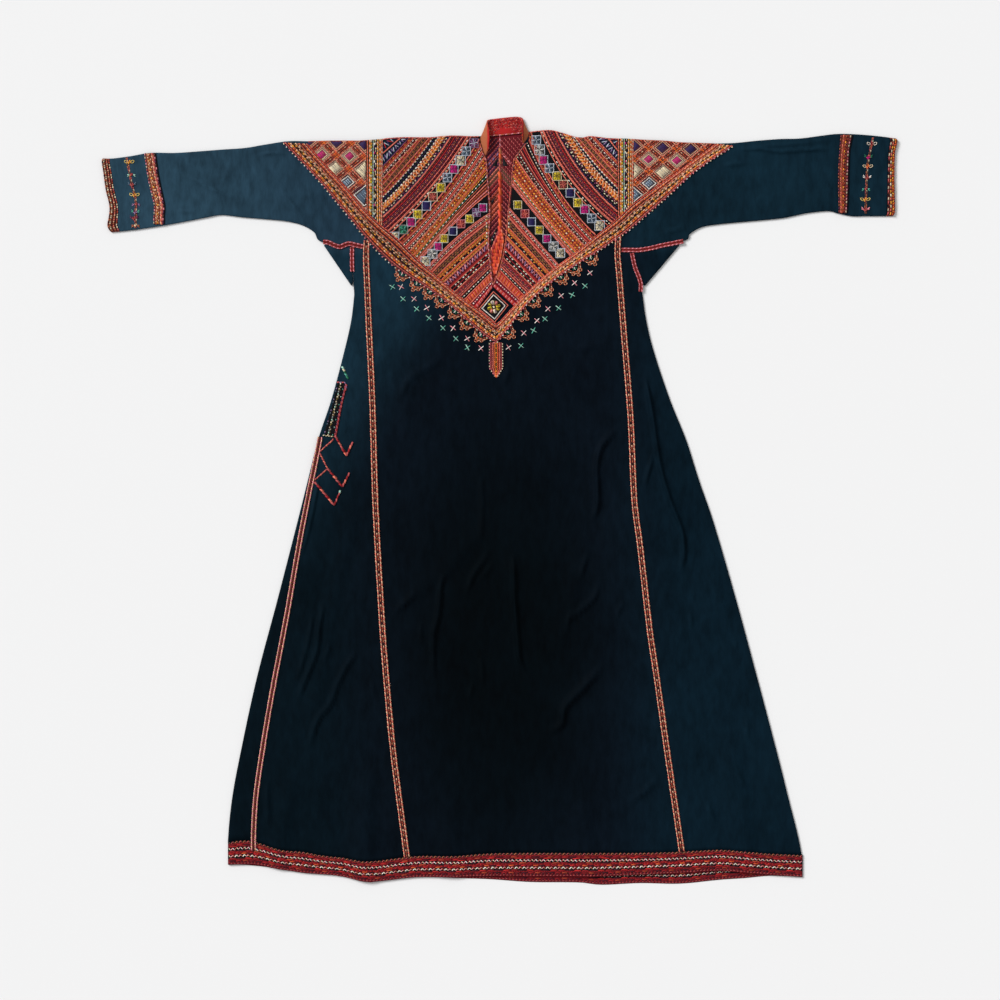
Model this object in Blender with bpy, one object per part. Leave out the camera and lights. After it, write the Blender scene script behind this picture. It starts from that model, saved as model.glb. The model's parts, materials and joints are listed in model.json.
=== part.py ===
"""Long embroidered dress laid flat, front side up: a wide body with slanting side
panels, straight sleeves, a slit neck with a stand collar and a sewn-on chest.

Tables are in millimetres: X across the body, Y from hem to shoulder, Z up from the
surface the dress lies on. Every cloth piece is a wall of constant thickness."""
import bpy
import bmesh
import math

# ---------------------------------------------------------------- driving dimensions
MM = 0.001
WALL = 1.2                # cloth
ROLL = 2.0                # outer radius where the cloth turns over at a fold
FRONT = 2.0 * ROLL        # height of the front layer's upper face
SEAM_GAP = 0.3            # between two pieces at a seam
ON_TOP = 0.3              # between a sewn-on piece and the cloth under it
CHEST_WALL = 1.0
TRIM_WALL = 1.2
HEM_BAND = 38.4           # height of the embroidered hem
FACING_WALL = 1.0
COLLAR_WALL = 1.5
UNDERARM = 453.0          # level of the underarm seams
ARMPIT = 377.0            # level where the sides of the body start
SLIT_END = 388.0
ROW_STEP = 38.0
HEM_REST = -634.0         # mean level where the panels end and the hem band starts
CENTRE_Y = 0.6            # brings the origin under the middle of the plan

ARC = ROLL * math.pi / 2.0
TRIM_BASE = FRONT + ON_TOP

# body fold lines: level, left fold, right fold
BODY_FOLDS = (
    (375, -261, 257),
    (325, -267, 264),
    (271, -279, 277),
    (181, -303, 307),
    (109, -327, 336),
    (37, -345, 359),
    (-35, -363, 384),
    (-179, -400, 426),
    (-323, -438, 465),
    (-467, -469, 503),
    (-539, -482, 521),
    (-611, -489, 539),
    (-656, -489, 546),
    (-700, -489, 546),
)
# seams between the middle panels and the side panels: level, left seam
LEFT_SEAM = ((650, -225), (456, -239), (381, -237), (289, -233), (181, -228), (-12, -222),
             (-226, -210), (-330, -202), (-456, -190), (-541, -179), (-700, -158))
RIGHT_SEAM = ((652, 226), (451, 213), (411, 216), (298, 225), (147, 237), (-4, 244), (-82, 254),
              (-231, 271), (-320, 284), (-482, 307), (-626, 328), (-700, 337))
# how far the side seam lies round from the fold: level, left (front +), right (back -)
SIDE_SEAM = (
    (375, 0, 0),
    (127, 0, 0),
    (109, 5, -2),
    (19, 9, -6),
    (-80, 15, -12),
    (-284, 32, -24),
    (-447, 40, -34),
    (-622, 48, -40),
    (-700, 50, -42),
)
# lower edge of the front and of the back: x, front edge, back edge
HEM = (
    (-489, -656, -656),
    (-404, -663, -663),
    (-323, -672, -672),
    (-269, -681, -681),
    (-233, -688, -688),
    (-188, -681, -681),
    (-143, -678, -678),
    (-80, -678, -680),
    (-17, -672, -682),
    (55, -670, -687),
    (145, -670, -688),
    (181, -670, -692),
    (253, -670, -689),
    (325, -669, -690),
    (397, -667, -683),
    (442, -670, -680),
    (487, -674, -676),
    (546, -678, -678),
)
# shoulder line: x, level
SHOULDER = ((-225, 650), (-179, 654), (-125, 654), (-89, 657), (-36, 656), (56, 664), (91, 667),
            (109, 663), (145, 653), (163, 656), (199, 652), (226, 652))
# front neck opening: level, left edge, right edge
SLIT = (
    (388, -12, -12),
    (415, -15, 0),
    (460, -19, 10),
    (523, -17, 16),
    (577, -21, 22),
    (613, -24, 26),
    (626, -30, 35),
    (647, -35, 50),
    (660, -36, 56),
    (670, -36, 58),
)
# sleeve sections from cuff to armhole: lower x, lower y, upper x, upper y
LEFT_SLEEVE = (
    (-687, 483, -717, 616),
    (-669, 485, -698, 616),
    (-644, 489, -665, 620),
    (-611, 494, -629, 626),
    (-572, 501, -584, 626),
    (-530, 509, -539, 629),
    (-500, 514, -500, 632),
    (-464, 510, -458, 635),
    (-428, 507, -422, 641),
    (-386, 503, -381, 647),
    (-356, 496, -341, 647),
    (-334, 483, -305, 648),
    (-321, 466, -287, 648),
    (-266, 460, -251, 648),
    (-239, 456, -225, 650),
)
RIGHT_SLEEVE = (
    (712, 512, 717, 652),
    (685, 512, 692, 655),
    (660, 512, 663, 658),
    (634, 512, 631, 660),
    (609, 517, 606, 660),
    (591, 521, 580, 657),
    (552, 517, 541, 652),
    (514, 509, 505, 651),
    (478, 505, 464, 648),
    (433, 501, 424, 644),
    (393, 497, 388, 643),
    (364, 492, 356, 644),
    (343, 480, 325, 645),
    (330, 467, 298, 648),
    (238, 453, 253, 650),
    (213, 451, 226, 652),
)
# soft folds of the front layer: start x, start y, end x, end y, half width, height
CREASES = (
    (-262, 10, -336, -402, 22, 3.4),
    (-238, -275, -327, -399, 20, 2.6),
    (26, -80, 38, -290, 20, 4.0),
    (-111, -150, -119, -285, 18, 2.6),
    (-13, -37, -185, -205, 22, 3.2),
    (197, 89, 159, -44, 22, 3.4),
    (159, -44, 105, -285, 24, 4.0),
    (190, -296, 78, -408, 22, 3.0),
    (275, 262, 318, 110, 18, 3.0),
    (289, 53, 335, -60, 18, 3.0),
    (-236, -470, -240, -760, 34, 4.0),
    (-90, -540, -84, -760, 36, 3.0),
    (150, -520, 170, -760, 40, 3.4),
    (-380, -480, -404, -760, 32, 2.8),
    (420, -420, 452, -760, 36, 3.4),
)
# chest border, from the shoulder to its point: outer x, outer y, inner x, inner y
LEFT_BORDER = (
    (-388, 644, -347, 642),
    (-325, 577, -305, 594),
    (-290, 535, -269, 554),
    (-266, 506, -246, 526),
    (-238, 471, -217, 498),
    (-203, 435, -182, 469),
    (-170, 409, -147, 433),
    (-134, 386, -114, 404),
    (-92, 356, -73, 368),
    (-55, 322, -34, 340),
    (-24, 291, -14, 323),
    (-6.4, 286, -6.4, 317),
)
RIGHT_BORDER = (
    (420, 638, 390, 642),
    (354, 594, 343, 607),
    (305, 550, 289, 568),
    (257, 508, 237, 530),
    (230, 485, 213, 507),
    (191, 458, 178, 479),
    (153, 434, 143, 450),
    (103, 401, 93, 413),
    (63, 367, 53, 377),
    (38, 340, 27, 350),
    (14, 305, 4, 325),
    (-5.4, 287, -5.4, 317),
)
# embroidered rows of the chest, each ending on a line from the border to the neck side:
# height, left border x, y, left neck x, y, right border x, y, right neck x, y
CHEST_ROWS = (
    (0.2, -210, 648, -208, 649, 212, 651, 210, 651),
    (0.2, -210, 602, -166, 652, 212, 610, 171, 653),
    (0.7, -210, 590, -156, 652, 212, 604, 166, 654),
    (0.3, -210, 569, -141, 653, 212, 584, 150, 654),
    (0.6, -210, 548, -122, 653, 212, 563, 132, 657),
    (0.2, -210, 532, -109, 654, 212, 552, 128, 658),
    (0.9, -210, 518, -94, 655, 212, 534, 109, 662),
    (0.3, -210, 505, -88, 656, 211, 521, 102, 664),
    (0.7, -205, 487, -57, 655, 202, 501, 78, 665),
    (0.2, -187, 472, -37, 652, 171, 479, 58, 662),
    (0.7, -171, 456, -30, 625, 156, 465, 41, 624),
    (0.3, -165, 449, -27, 616, 150, 460, 35, 611),
    (0.9, -156, 441, -25, 595, 135, 450, 28, 582),
    (0.3, -146, 431, -22, 566, 129, 445, 27, 571),
    (0.2, -130, 418, -17, 518, 102, 425, 22, 523),
    (0.6, -120, 408, -17, 503, 94, 417, 20, 507),
    (0.4, -111, 400, -17, 490, 86, 411, 19, 489),
    (0.6, -98, 390, -17, 471, 76, 401, 17, 468),
    (0.3, -85, 379, -17, 451, 65, 391, 14, 449),
    (0.5, -76, 371, -17, 439, 59, 385, 12, 435),
    (0.7, -66, 363, -16, 422, 47, 373, 7, 418),
    (0.3, -58, 358, -15, 411, 41, 366, 4, 411),
    (0.6, -41, 347, -14, 384, 24, 353, -6, 386),
)
# collar from its left front end round the back: foot x, y, z and upper edge x, y, z
COLLAR = (
    (-24.6, 622, 3.6, -19.4, 633.0, 11.0),
    (-29.2, 635, 3.6, -18.0, 649.0, 15.0),
    (-31.4, 646, 3.6, -18.5, 664.0, 14.0),
    (-32.2, 655, 3.4, -20.6, 676.0, 9.5),
    (-28.0, 659.9, 2.4, -20.5, 684.5, 4.6),
    (-14.0, 659.9, 1.8, -9.0, 687.2, 2.0),
    (4.0, 661.2, 1.6, 6.0, 689.0, 1.6),
    (22.0, 662.8, 1.6, 22.0, 690.6, 1.6),
    (38.0, 664.6, 1.8, 34.0, 690.8, 2.2),
    (49.0, 665.8, 2.4, 40.6, 687.4, 5.2),
    (51.6, 660.6, 3.4, 40.2, 677.0, 9.5),
    (48.2, 652, 3.6, 40.4, 664.0, 13.0),
    (43.0, 644, 3.6, 41.2, 652.0, 11.0),
)


# ---------------------------------------------------------------- curves
def curve(table, column, x):
    """Smooth value of one table column at x, the first column being the station."""
    rows = sorted(table)
    if x <= rows[0][0]:
        return float(rows[0][column])
    if x >= rows[-1][0]:
        return float(rows[-1][column])
    i = 0
    while rows[i + 1][0] < x:
        i += 1

    def slope(k):
        a = rows[max(k - 1, 0)]
        b = rows[min(k + 1, len(rows) - 1)]
        return (b[column] - a[column]) / (b[0] - a[0])

    span = rows[i + 1][0] - rows[i][0]
    t = (x - rows[i][0]) / span
    a = rows[i][column]
    b = rows[i + 1][column]
    return ((2 * t ** 3 - 3 * t ** 2 + 1) * a + (t ** 3 - 2 * t ** 2 + t) * slope(i) * span
            + (3 * t ** 2 - 2 * t ** 3) * b + (t ** 3 - t ** 2) * slope(i + 1) * span)


def straight(table, x):
    """Value on the polyline through (x, y) rows."""
    rows = sorted(table)
    for a, b in zip(rows, rows[1:]):
        if x <= b[0]:
            break
    return a[1] + (b[1] - a[1]) * (x - a[0]) / (b[0] - a[0])


def mix(a, b, t):
    return a + (b - a) * t


def ease(t):
    t = min(max(t, 0.0), 1.0)
    return t * t * (3.0 - 2.0 * t)


def fold_left(y):
    return curve(BODY_FOLDS, 1, y)


def fold_right(y):
    return curve(BODY_FOLDS, 2, y)


def seam_left(y):
    return straight(LEFT_SEAM, y) if y > 456 else curve(LEFT_SEAM, 1, y)


def seam_right(y):
    return straight(RIGHT_SEAM, y) if y > 451 else curve(RIGHT_SEAM, 1, y)


def shoulder(x):
    return curve(SHOULDER, 1, x)


def crease_height(x, y):
    """Rise of the front layer: soft folds that die out at seams and side folds."""
    rise = 0.0
    for x0, y0, x1, y1, half, high in CREASES:
        dx = x1 - x0
        dy = y1 - y0
        length = math.hypot(dx, dy)
        t = ((x - x0) * dx + (y - y0) * dy) / length
        off = abs((x - x0) * dy - (y - y0) * dx) / length
        if off < half and 0.0 < t < length:
            taper = ease(t / 50.0) * ease((length - t) / 50.0)
            rise = max(rise, high * taper * 0.5 * (1.0 + math.cos(math.pi * off / half)))
    edges = (seam_left(y), seam_right(y), fold_left(y) + 6.0, fold_right(y) - 6.0,
             fold_left(y) + curve(SIDE_SEAM, 1, y))
    nearest = min(abs(x - e) for e in edges)
    return rise * ease((nearest - 8.0) / 18.0)


# ---------------------------------------------------------------- walls
class Wall:
    """A closed wall round a surface given by pairs of outer and inner points."""

    def __init__(self, name, colour):
        self.name = name
        self.colour = colour
        self.pairs = []
        self.index = {}
        self.faces = []

    def point(self, pair):
        key = tuple(round(c, 3) for c in pair[0])
        if key not in self.index:
            self.index[key] = len(self.pairs)
            self.pairs.append(pair)
        return self.index[key]

    def face(self, pairs):
        loop = []
        for pair in pairs:
            k = self.point(pair)
            if k not in loop:
                loop.append(k)
        if len(loop) > 2:
            self.faces.append(loop)

    def grid(self, rows):
        for upper, lower in zip(rows, rows[1:]):
            for i in range(len(upper) - 1):
                self.face((upper[i], upper[i + 1], lower[i + 1], lower[i]))

    def ring(self, rows):
        self.grid([list(row) + [row[0]] for row in rows])

    def finish(self):
        count = len(self.pairs)
        points = [p[0] for p in self.pairs] + [p[1] for p in self.pairs]
        faces = [list(f) for f in self.faces]
        faces += [[k + count for k in reversed(f)] for f in self.faces]
        uses = {}
        for f in self.faces:
            for a, b in zip(f, f[1:] + f[:1]):
                uses.setdefault((min(a, b), max(a, b)), []).append((a, b))
        for sides in uses.values():
            if len(sides) == 1:
                a, b = sides[0]
                faces.append([b, a, a + count, b + count])
        mesh = bpy.data.meshes.new(self.name)
        mesh.from_pydata([(x * MM, (y + CENTRE_Y) * MM, z * MM) for x, y, z in points], [], faces)
        shell = bmesh.new()
        shell.from_mesh(mesh)
        bmesh.ops.recalc_face_normals(shell, faces=shell.faces)
        shell.to_mesh(mesh)
        shell.free()
        mesh.update()
        material = bpy.data.materials.new(self.name + "_cloth")
        material.use_nodes = True
        shader = material.node_tree.nodes["Principled BSDF"]
        shader.inputs["Base Color"].default_value = self.colour + (1.0,)
        shader.inputs["Roughness"].default_value = 0.85
        mesh.materials.append(material)
        obj = bpy.data.objects.new(self.name, mesh)
        bpy.context.scene.collection.objects.link(obj)
        return obj


def front_at(x, y):
    """Outer and inner point of the front layer."""
    top = FRONT + crease_height(x, y)
    return ((x, y, top), (x, y, top - WALL))


def back_at(x, y):
    """Outer and inner point of the back layer."""
    return ((x, y, 0.0), (x, y, WALL))


def turned(edge, inward, d):
    """Point of a layer that turns over at an edge, d along the cloth from mid height."""
    inner_radius = ROLL - WALL
    if abs(d) >= ARC:
        reach = ROLL + abs(d) - ARC
        x = edge[0] + inward[0] * reach
        y = edge[1] + inward[1] * reach
        return front_at(x, y) if d > 0 else back_at(x, y)
    a = d / ROLL
    out = ROLL - ROLL * math.cos(a)
    into = ROLL - inner_radius * math.cos(a)
    return ((edge[0] + inward[0] * out, edge[1] + inward[1] * out, ROLL + ROLL * math.sin(a)),
            (edge[0] + inward[0] * into, edge[1] + inward[1] * into,
             ROLL + inner_radius * math.sin(a)))


CLOTH = (0.010, 0.028, 0.040)
RED = (0.42, 0.06, 0.05)
ORANGE = (0.55, 0.16, 0.05)
WINE = (0.25, 0.03, 0.04)
built = []
hem_line = {1: [], 2: []}     # where the panels end, front and back: (x, y)


def note_hem(pairs):
    for outer, inner in pairs:
        if outer[2] >= FRONT - 0.001:
            hem_line[1].append(outer[:2])
        elif outer[2] <= 0.001:
            hem_line[2].append(outer[:2])


def hem_stations(layer):
    """Stations along the end of the panels, one for the two sides of each seam."""
    stations = []
    for x, y in sorted(hem_line[layer]):
        if not stations or x - stations[-1][0] > 1.0:
            stations.append((x, y))
    return stations


def start_over():
    for old in list(bpy.data.objects):
        bpy.data.objects.remove(old, do_unlink=True)


# ---------------------------------------------------------------- body
def body_levels(top):
    """Levels of the body rows from the given top to the hem band."""
    levels = [top, 420.0, SLIT_END, ARMPIT - 5.0]
    count = round((levels[-1] - HEM_REST) / ROW_STEP)
    for k in range(1, count + 1):
        levels.append(mix(levels[3], HEM_REST, k / count))
    return levels


def lowered(level, x, layer):
    """Level of a row at x once the wave of the hem is added near the hem."""
    edge = curve(HEM, layer, x) + HEM_BAND + SEAM_GAP
    return level + (edge - HEM_REST) * ease((ARMPIT - level) / (ARMPIT - HEM_REST) * 3.3 - 2.3)


def settle(level, layer, x_at):
    """Point of a row whose x depends on its level and whose level depends on x."""
    y = level
    for _ in range(3):
        y = lowered(level, x_at(y), layer)
    return x_at(y), y


def middle_front():
    wall = Wall("front_panel", CLOTH)
    left_columns = 9
    right_columns = 11

    def row(x_left, x_mid_left, x_mid_right, x_right, point):
        left = [mix(x_left, x_mid_left, i / left_columns) for i in range(left_columns + 1)]
        right = [mix(x_mid_right, x_right, i / right_columns) for i in range(right_columns + 1)]
        return [point(x) for x in left], [point(x) for x in right]

    rows = []
    for d in (SEAM_GAP / 2.0, ARC / 2.0, ARC):
        rows.append(row(-225 + SEAM_GAP / 2, -36, 56, 226 - SEAM_GAP / 2,
                        lambda x, d=d: turned((x, shoulder(x)), (0.0, -1.0), d)))
    for t in (0.05, 0.11, 0.18, 0.33, 0.5, 0.67, 0.84):
        def drop(x, t=t):
            return front_at(x, mix(shoulder(x) - ROLL, UNDERARM, t))

        y = mix(656.0, UNDERARM, t)
        rows.append(row(seam_left(mix(648.0, UNDERARM, t)) + SEAM_GAP / 2, curve(SLIT, 1, y),
                        curve(SLIT, 2, y), seam_right(mix(650.0, UNDERARM, t)) - SEAM_GAP / 2, drop))
    for level in body_levels(UNDERARM):
        def mid(y, column):
            if y >= SLIT_END:
                return curve(SLIT, column, y)
            return mix(-12.0, 81.0, (SLIT_END - y) / (SLIT_END - HEM_REST))

        left = []
        right = []
        for i in range(left_columns + 1):
            t = i / left_columns
            x, y = settle(level, 1, lambda v, t=t: mix(seam_left(v) + SEAM_GAP / 2, mid(v, 1), t))
            left.append(front_at(x, y))
        for i in range(right_columns + 1):
            t = i / right_columns
            x, y = settle(level, 1, lambda v, t=t: mix(mid(v, 2), seam_right(v) - SEAM_GAP / 2, t))
            right.append(front_at(x, y))
        rows.append((left, right))
    note_hem(rows[-1][0] + rows[-1][1])
    wall.grid([r[0] for r in rows])
    wall.grid([r[1] for r in rows])
    built.append(wall.finish())


def middle_back():
    wall = Wall("back_panel", CLOTH)
    columns = 10
    rows = []
    for d in (-SEAM_GAP / 2.0, -ARC / 2.0, -ARC):
        row = []
        for i in range(columns + 1):
            x = mix(-225 + SEAM_GAP / 2, 226 - SEAM_GAP / 2, i / columns)
            row.append(turned((x, shoulder(x)), (0.0, -1.0), d))
        rows.append(row)
    levels = [560.0] + body_levels(UNDERARM)
    for level in levels:
        row = []
        for i in range(columns + 1):
            t = i / columns
            x, y = settle(level, 2, lambda v, t=t: mix(seam_left(v) + SEAM_GAP / 2,
                                                       seam_right(v) - SEAM_GAP / 2, t))
            row.append(back_at(x, y))
        rows.append(row)
    note_hem(rows[-1])
    wall.grid(rows)
    built.append(wall.finish())


def side_panel(name, side, layer):
    """One side panel; side is 1 for the left of the body, layer 1 front or 2 back."""
    wall = Wall(name, CLOTH)
    fold = fold_left if side > 0 else fold_right
    seam = seam_left if side > 0 else seam_right
    sign = 1.0 if layer == 1 else -1.0
    flat_columns = 6

    def gusset_edge(y):
        if side > 0:
            return mix(-262.0, -266.0, (y - ARMPIT) / (459.0 - ARMPIT))
        return mix(256.0, 237.6, (y - ARMPIT) / (451.0 - ARMPIT))

    def top_level(x):
        if side > 0:
            return mix(459.7, 455.7, (x + 266.0) / 27.0) - SEAM_GAP
        return mix(450.9, 452.9, (x - 213.0) / 25.0) - SEAM_GAP

    def section(y, d):
        if y > ARMPIT:
            edge = gusset_edge(y) - side * ROLL
        else:
            edge = fold(y)
        return turned((edge, y), (side, 0.0), d)

    rows = []
    for level in body_levels(UNDERARM):
        above = level > ARMPIT
        y = level
        for _ in range(3):
            lean = fold(min(y, ARMPIT))
            y = lowered(level, lean, layer)
        turn = side * curve(SIDE_SEAM, 1 if side > 0 else 2, y) if not above else 0.0
        turn = side * turn
        end = sign * ARC if above else turn + sign * SEAM_GAP / 2.0
        pairs = []
        # part of the piece that lies beyond the fold, on the other layer
        if not above and sign * end < -ARC:
            pairs.append(section(y, end))
            pairs.append(section(y, (end - sign * ARC) / 2.0))
        for d in (-ARC, -ARC / 2.0, 0.0, ARC / 2.0, ARC):
            here = sign * d
            if sign * end > d:
                here = end
            pairs.append(section(y, here))
        start = max(ARC, sign * end)
        for i in range(1, flat_columns + 1):
            t = i / flat_columns

            def across(v):
                edge = gusset_edge(v) - side * ROLL if above else fold(v)
                near = edge + side * (ROLL + start - ARC)
                return mix(near, seam(v) - side * SEAM_GAP / 2.0, t)

            x, v = settle(level, layer, across)
            if level == UNDERARM:
                v = top_level(x)
            pairs.append(front_at(x, v) if layer == 1 else back_at(x, v))
        if level == UNDERARM:
            x = gusset_edge(459.0 if side > 0 else 451.0)
            v = top_level(x)
            corner = front_at(x, v) if layer == 1 else back_at(x, v)
            for i in range(len(pairs) - flat_columns):
                pairs[i] = corner
        rows.append(pairs)
    note_hem(rows[-1])
    width = max(len(r) for r in rows)
    rows = [[r[0]] * (width - len(r)) + r for r in rows]
    wall.grid(rows)
    built.append(wall.finish())


def hem_band():
    """Closed band round the lower edge, its front stitched in raised cords."""
    wall = Wall("hem_band", WINE)
    front = hem_stations(1)
    back = hem_stations(2)
    raised = ((0.0, 0.0), (0.22, 0.5), (0.5, 0.1), (0.75, 0.5), (1.0, 0.2))
    rows = []
    for share, raise_by in raised:
        drop = SEAM_GAP + share * HEM_BAND
        row = []
        for x, y in front:
            outer, inner = front_at(x, y - drop)
            row.append(((outer[0], outer[1], outer[2] + raise_by), inner))
        x, y = front[-1]
        row += [turned((x + ROLL, y - drop), (-1.0, 0.0), d) for d in (ARC / 2.0, 0.0, -ARC / 2.0)]
        for x, y in reversed(back):
            row.append(back_at(x, y - drop))
        x, y = front[0]
        row += [turned((x - ROLL, y - drop), (1.0, 0.0), d) for d in (-ARC / 2.0, 0.0, ARC / 2.0)]
        rows.append(row)
    wall.ring(rows)
    built.append(wall.finish())


# ---------------------------------------------------------------- sleeves and gussets
def sleeve_section(station, closed, raise_by=0.0):
    """Pairs round one sleeve section: front, upper fold, back; the lower edges meet."""
    bx, by, tx, ty = station
    length = math.hypot(tx - bx, ty - by)
    u = ((tx - bx) / length, (ty - by) / length)
    down = (-u[0], -u[1])

    def at(distance, layer):
        x = bx + u[0] * distance
        y = by + u[1] * distance
        if layer == 1:
            return ((x, y, FRONT + raise_by), (x, y, FRONT - WALL))
        return back_at(x, y)

    gap = SEAM_GAP / 2.0
    if closed:
        low_front = [turned((bx, by), u, gap), turned((bx, by), u, ARC / 2.0)]
        low_back = [turned((bx, by), u, -ARC / 2.0), turned((bx, by), u, -gap)]
    else:
        low_front = [at(gap, 1), at(ROLL / 2.0, 1)]
        low_back = [at(ROLL / 2.0, 2), at(gap, 2)]
    front = [at(mix(ROLL, length - ROLL, k / 3.0), 1) for k in range(4)]
    fold = [turned((tx, ty), down, d) for d in (ARC / 2.0, 0.0, -ARC / 2.0)]
    back = [at(mix(length - ROLL, ROLL, k / 2.0), 2) for k in range(3)]
    return low_front + front + fold + back + low_back


def between(a, b, t):
    return tuple(mix(p, q, t) for p, q in zip(a, b))


def sleeve(side_name, stations, cuff_share, closed_count, inward):
    """Sleeve folded at the shoulder with its cuff edging as a separate ring."""
    cuff_end = between(stations[0], stations[1], cuff_share)
    start = between(stations[0], stations[1], cuff_share + 0.018)
    edging = Wall("cuff_edge_" + side_name, RED)
    rows = []
    for t, raise_by in ((0.0, 0.1), (0.5, 0.6), (1.0, 0.1)):
        rows.append(sleeve_section(between(stations[0], cuff_end, t), True, raise_by))
    edging.grid(rows)
    built.append(edging.finish())
    wall = Wall("sleeve_" + side_name, CLOTH)
    last = stations[-1]
    shift = inward * SEAM_GAP
    last = (last[0] + shift, last[1], last[2] + shift, last[3])
    rows = []
    for k, station in enumerate((start,) + tuple(stations[1:-1]) + (last,)):
        rows.append(sleeve_section(station, k < closed_count))
    wall.grid(rows)
    built.append(wall.finish())


def gusset(side_name, outer, corner, lower):
    """Square of cloth folded corner to corner under the arm."""
    wall = Wall("gusset_" + side_name, CLOTH)
    rows = []
    for k in range(7):
        t = mix(0.07, 0.93, k / 6.0)
        fold = (mix(outer[0], lower[0], t), mix(outer[1], lower[1], t))
        if t < 0.5:
            inner = (mix(outer[0], corner[0], 2 * t), mix(outer[1], corner[1], 2 * t))
        else:
            inner = (mix(corner[0], lower[0], 2 * t - 1), mix(corner[1], lower[1], 2 * t - 1))
        length = math.hypot(inner[0] - fold[0], inner[1] - fold[1])
        u = ((inner[0] - fold[0]) / length, (inner[1] - fold[1]) / length)
        row = []
        for layer in (1, 2):
            near = max(ROLL + 0.2, length - 0.01)
            reach = ((inner[0], inner[1]) if length > ROLL + 0.2
                     else (fold[0] + u[0] * near, fold[1] + u[1] * near))
            mid = (mix(fold[0] + u[0] * ROLL, reach[0], 0.5),
                   mix(fold[1] + u[1] * ROLL, reach[1], 0.5))
            z = (FRONT, FRONT - WALL) if layer == 1 else (0.0, WALL)
            part = [((p[0], p[1], z[0]), (p[0], p[1], z[1])) for p in (reach, mid)]
            turn = [turned_flat(fold, u, d) for d in (ARC, ARC / 2.0)]
            if layer == 1:
                row += part + turn + [turned_flat(fold, u, 0.0)]
            else:
                turn = [turned_flat(fold, u, -d) for d in (ARC / 2.0, ARC)]
                row += turn + part[::-1]
        rows.append(row)
    wall.grid(rows)
    built.append(wall.finish())


def turned_flat(edge, inward, d):
    """Same as a turned edge but with no creases on the front layer."""
    if abs(d) >= ARC:
        x = edge[0] + inward[0] * ROLL
        y = edge[1] + inward[1] * ROLL
        if d > 0:
            return ((x, y, FRONT), (x, y, FRONT - WALL))
        return ((x, y, 0.0), (x, y, WALL))
    return turned(edge, inward, d)


# ---------------------------------------------------------------- sewn-on pieces
def strip(name, colour, pairs, profile, wall_height=TRIM_WALL, base=TRIM_BASE):
    """Strip between paired edge points; profile gives (share across, extra height)."""
    wall = Wall(name, colour)
    rows = []
    for x0, y0, x1, y1 in pairs:
        row = []
        for share, extra in profile:
            x = mix(x0, x1, share)
            y = mix(y0, y1, share)
            row.append(((x, y, base + wall_height + extra), (x, y, base)))
        rows.append(row)
    wall.grid(rows)
    built.append(wall.finish())


CORDS_2 = ((0.0, -0.3), (0.22, 0.3), (0.5, 0.0), (0.78, 0.3), (1.0, -0.3))
CORDS_3 = ((0.0, -0.2), (0.12, 0.9), (0.3, 0.3), (0.5, 0.8), (0.7, 0.3), (0.88, 0.9), (1.0, -0.2))
PLAIN = ((0.0, 0.0), (1.0, 0.0))


def ribbon(path, width):
    """Edge pairs of a ribbon of one width along a path."""
    pairs = []
    for k, (x, y) in enumerate(path):
        ax, ay = path[max(k - 1, 0)]
        bx, by = path[min(k + 1, len(path) - 1)]
        length = math.hypot(bx - ax, by - ay)
        nx = (by - ay) / length * width / 2.0
        ny = -(bx - ax) / length * width / 2.0
        pairs.append((x - nx, y - ny, x + nx, y + ny))
    return pairs


def seam_braids():
    for name, seam, top in (("left", seam_left, 454.0), ("right", seam_right, 452.0)):
        path = []
        for k in range(22):
            y = mix(top, HEM_REST, k / 21.0)
            x, y = settle(y, 1, seam)
            path.append((x, y + (1.2 if k == 21 else 0.0)))
        strip("front_seam_braid_" + name, ORANGE, ribbon(path, 9.5), CORDS_2)
    path = []
    for k in range(18):
        y = mix(92.0, HEM_REST, k / 17.0)
        x, y = settle(y, 1, lambda v: fold_left(v) + curve(SIDE_SEAM, 1, v) - ARC + ROLL)
        path.append((x, y + (1.2 if k == 17 else 0.0)))
    strip("side_seam_braid", RED, ribbon(path, 7.5), CORDS_2)
    strip("underarm_braid_left", RED, ribbon(((-317, 465.6), (-290, 462.6), (-266, 460), (-246, 457)),
                                             6.0), CORDS_2)
    strip("underarm_braid_right", RED, ribbon(((325, 466.2), (280, 459.4), (238, 453), (220, 451.6)),
                                              6.0), CORDS_2)
    strip("gusset_braid_left", RED, ribbon(((-265.8, 455), (-264.6, 434), (-263.4, 412)), 5.0),
          CORDS_2)
    strip("gusset_braid_right", RED, ribbon(((239.8, 447), (246.4, 418), (254.0, 390)), 5.0),
          CORDS_2)


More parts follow.
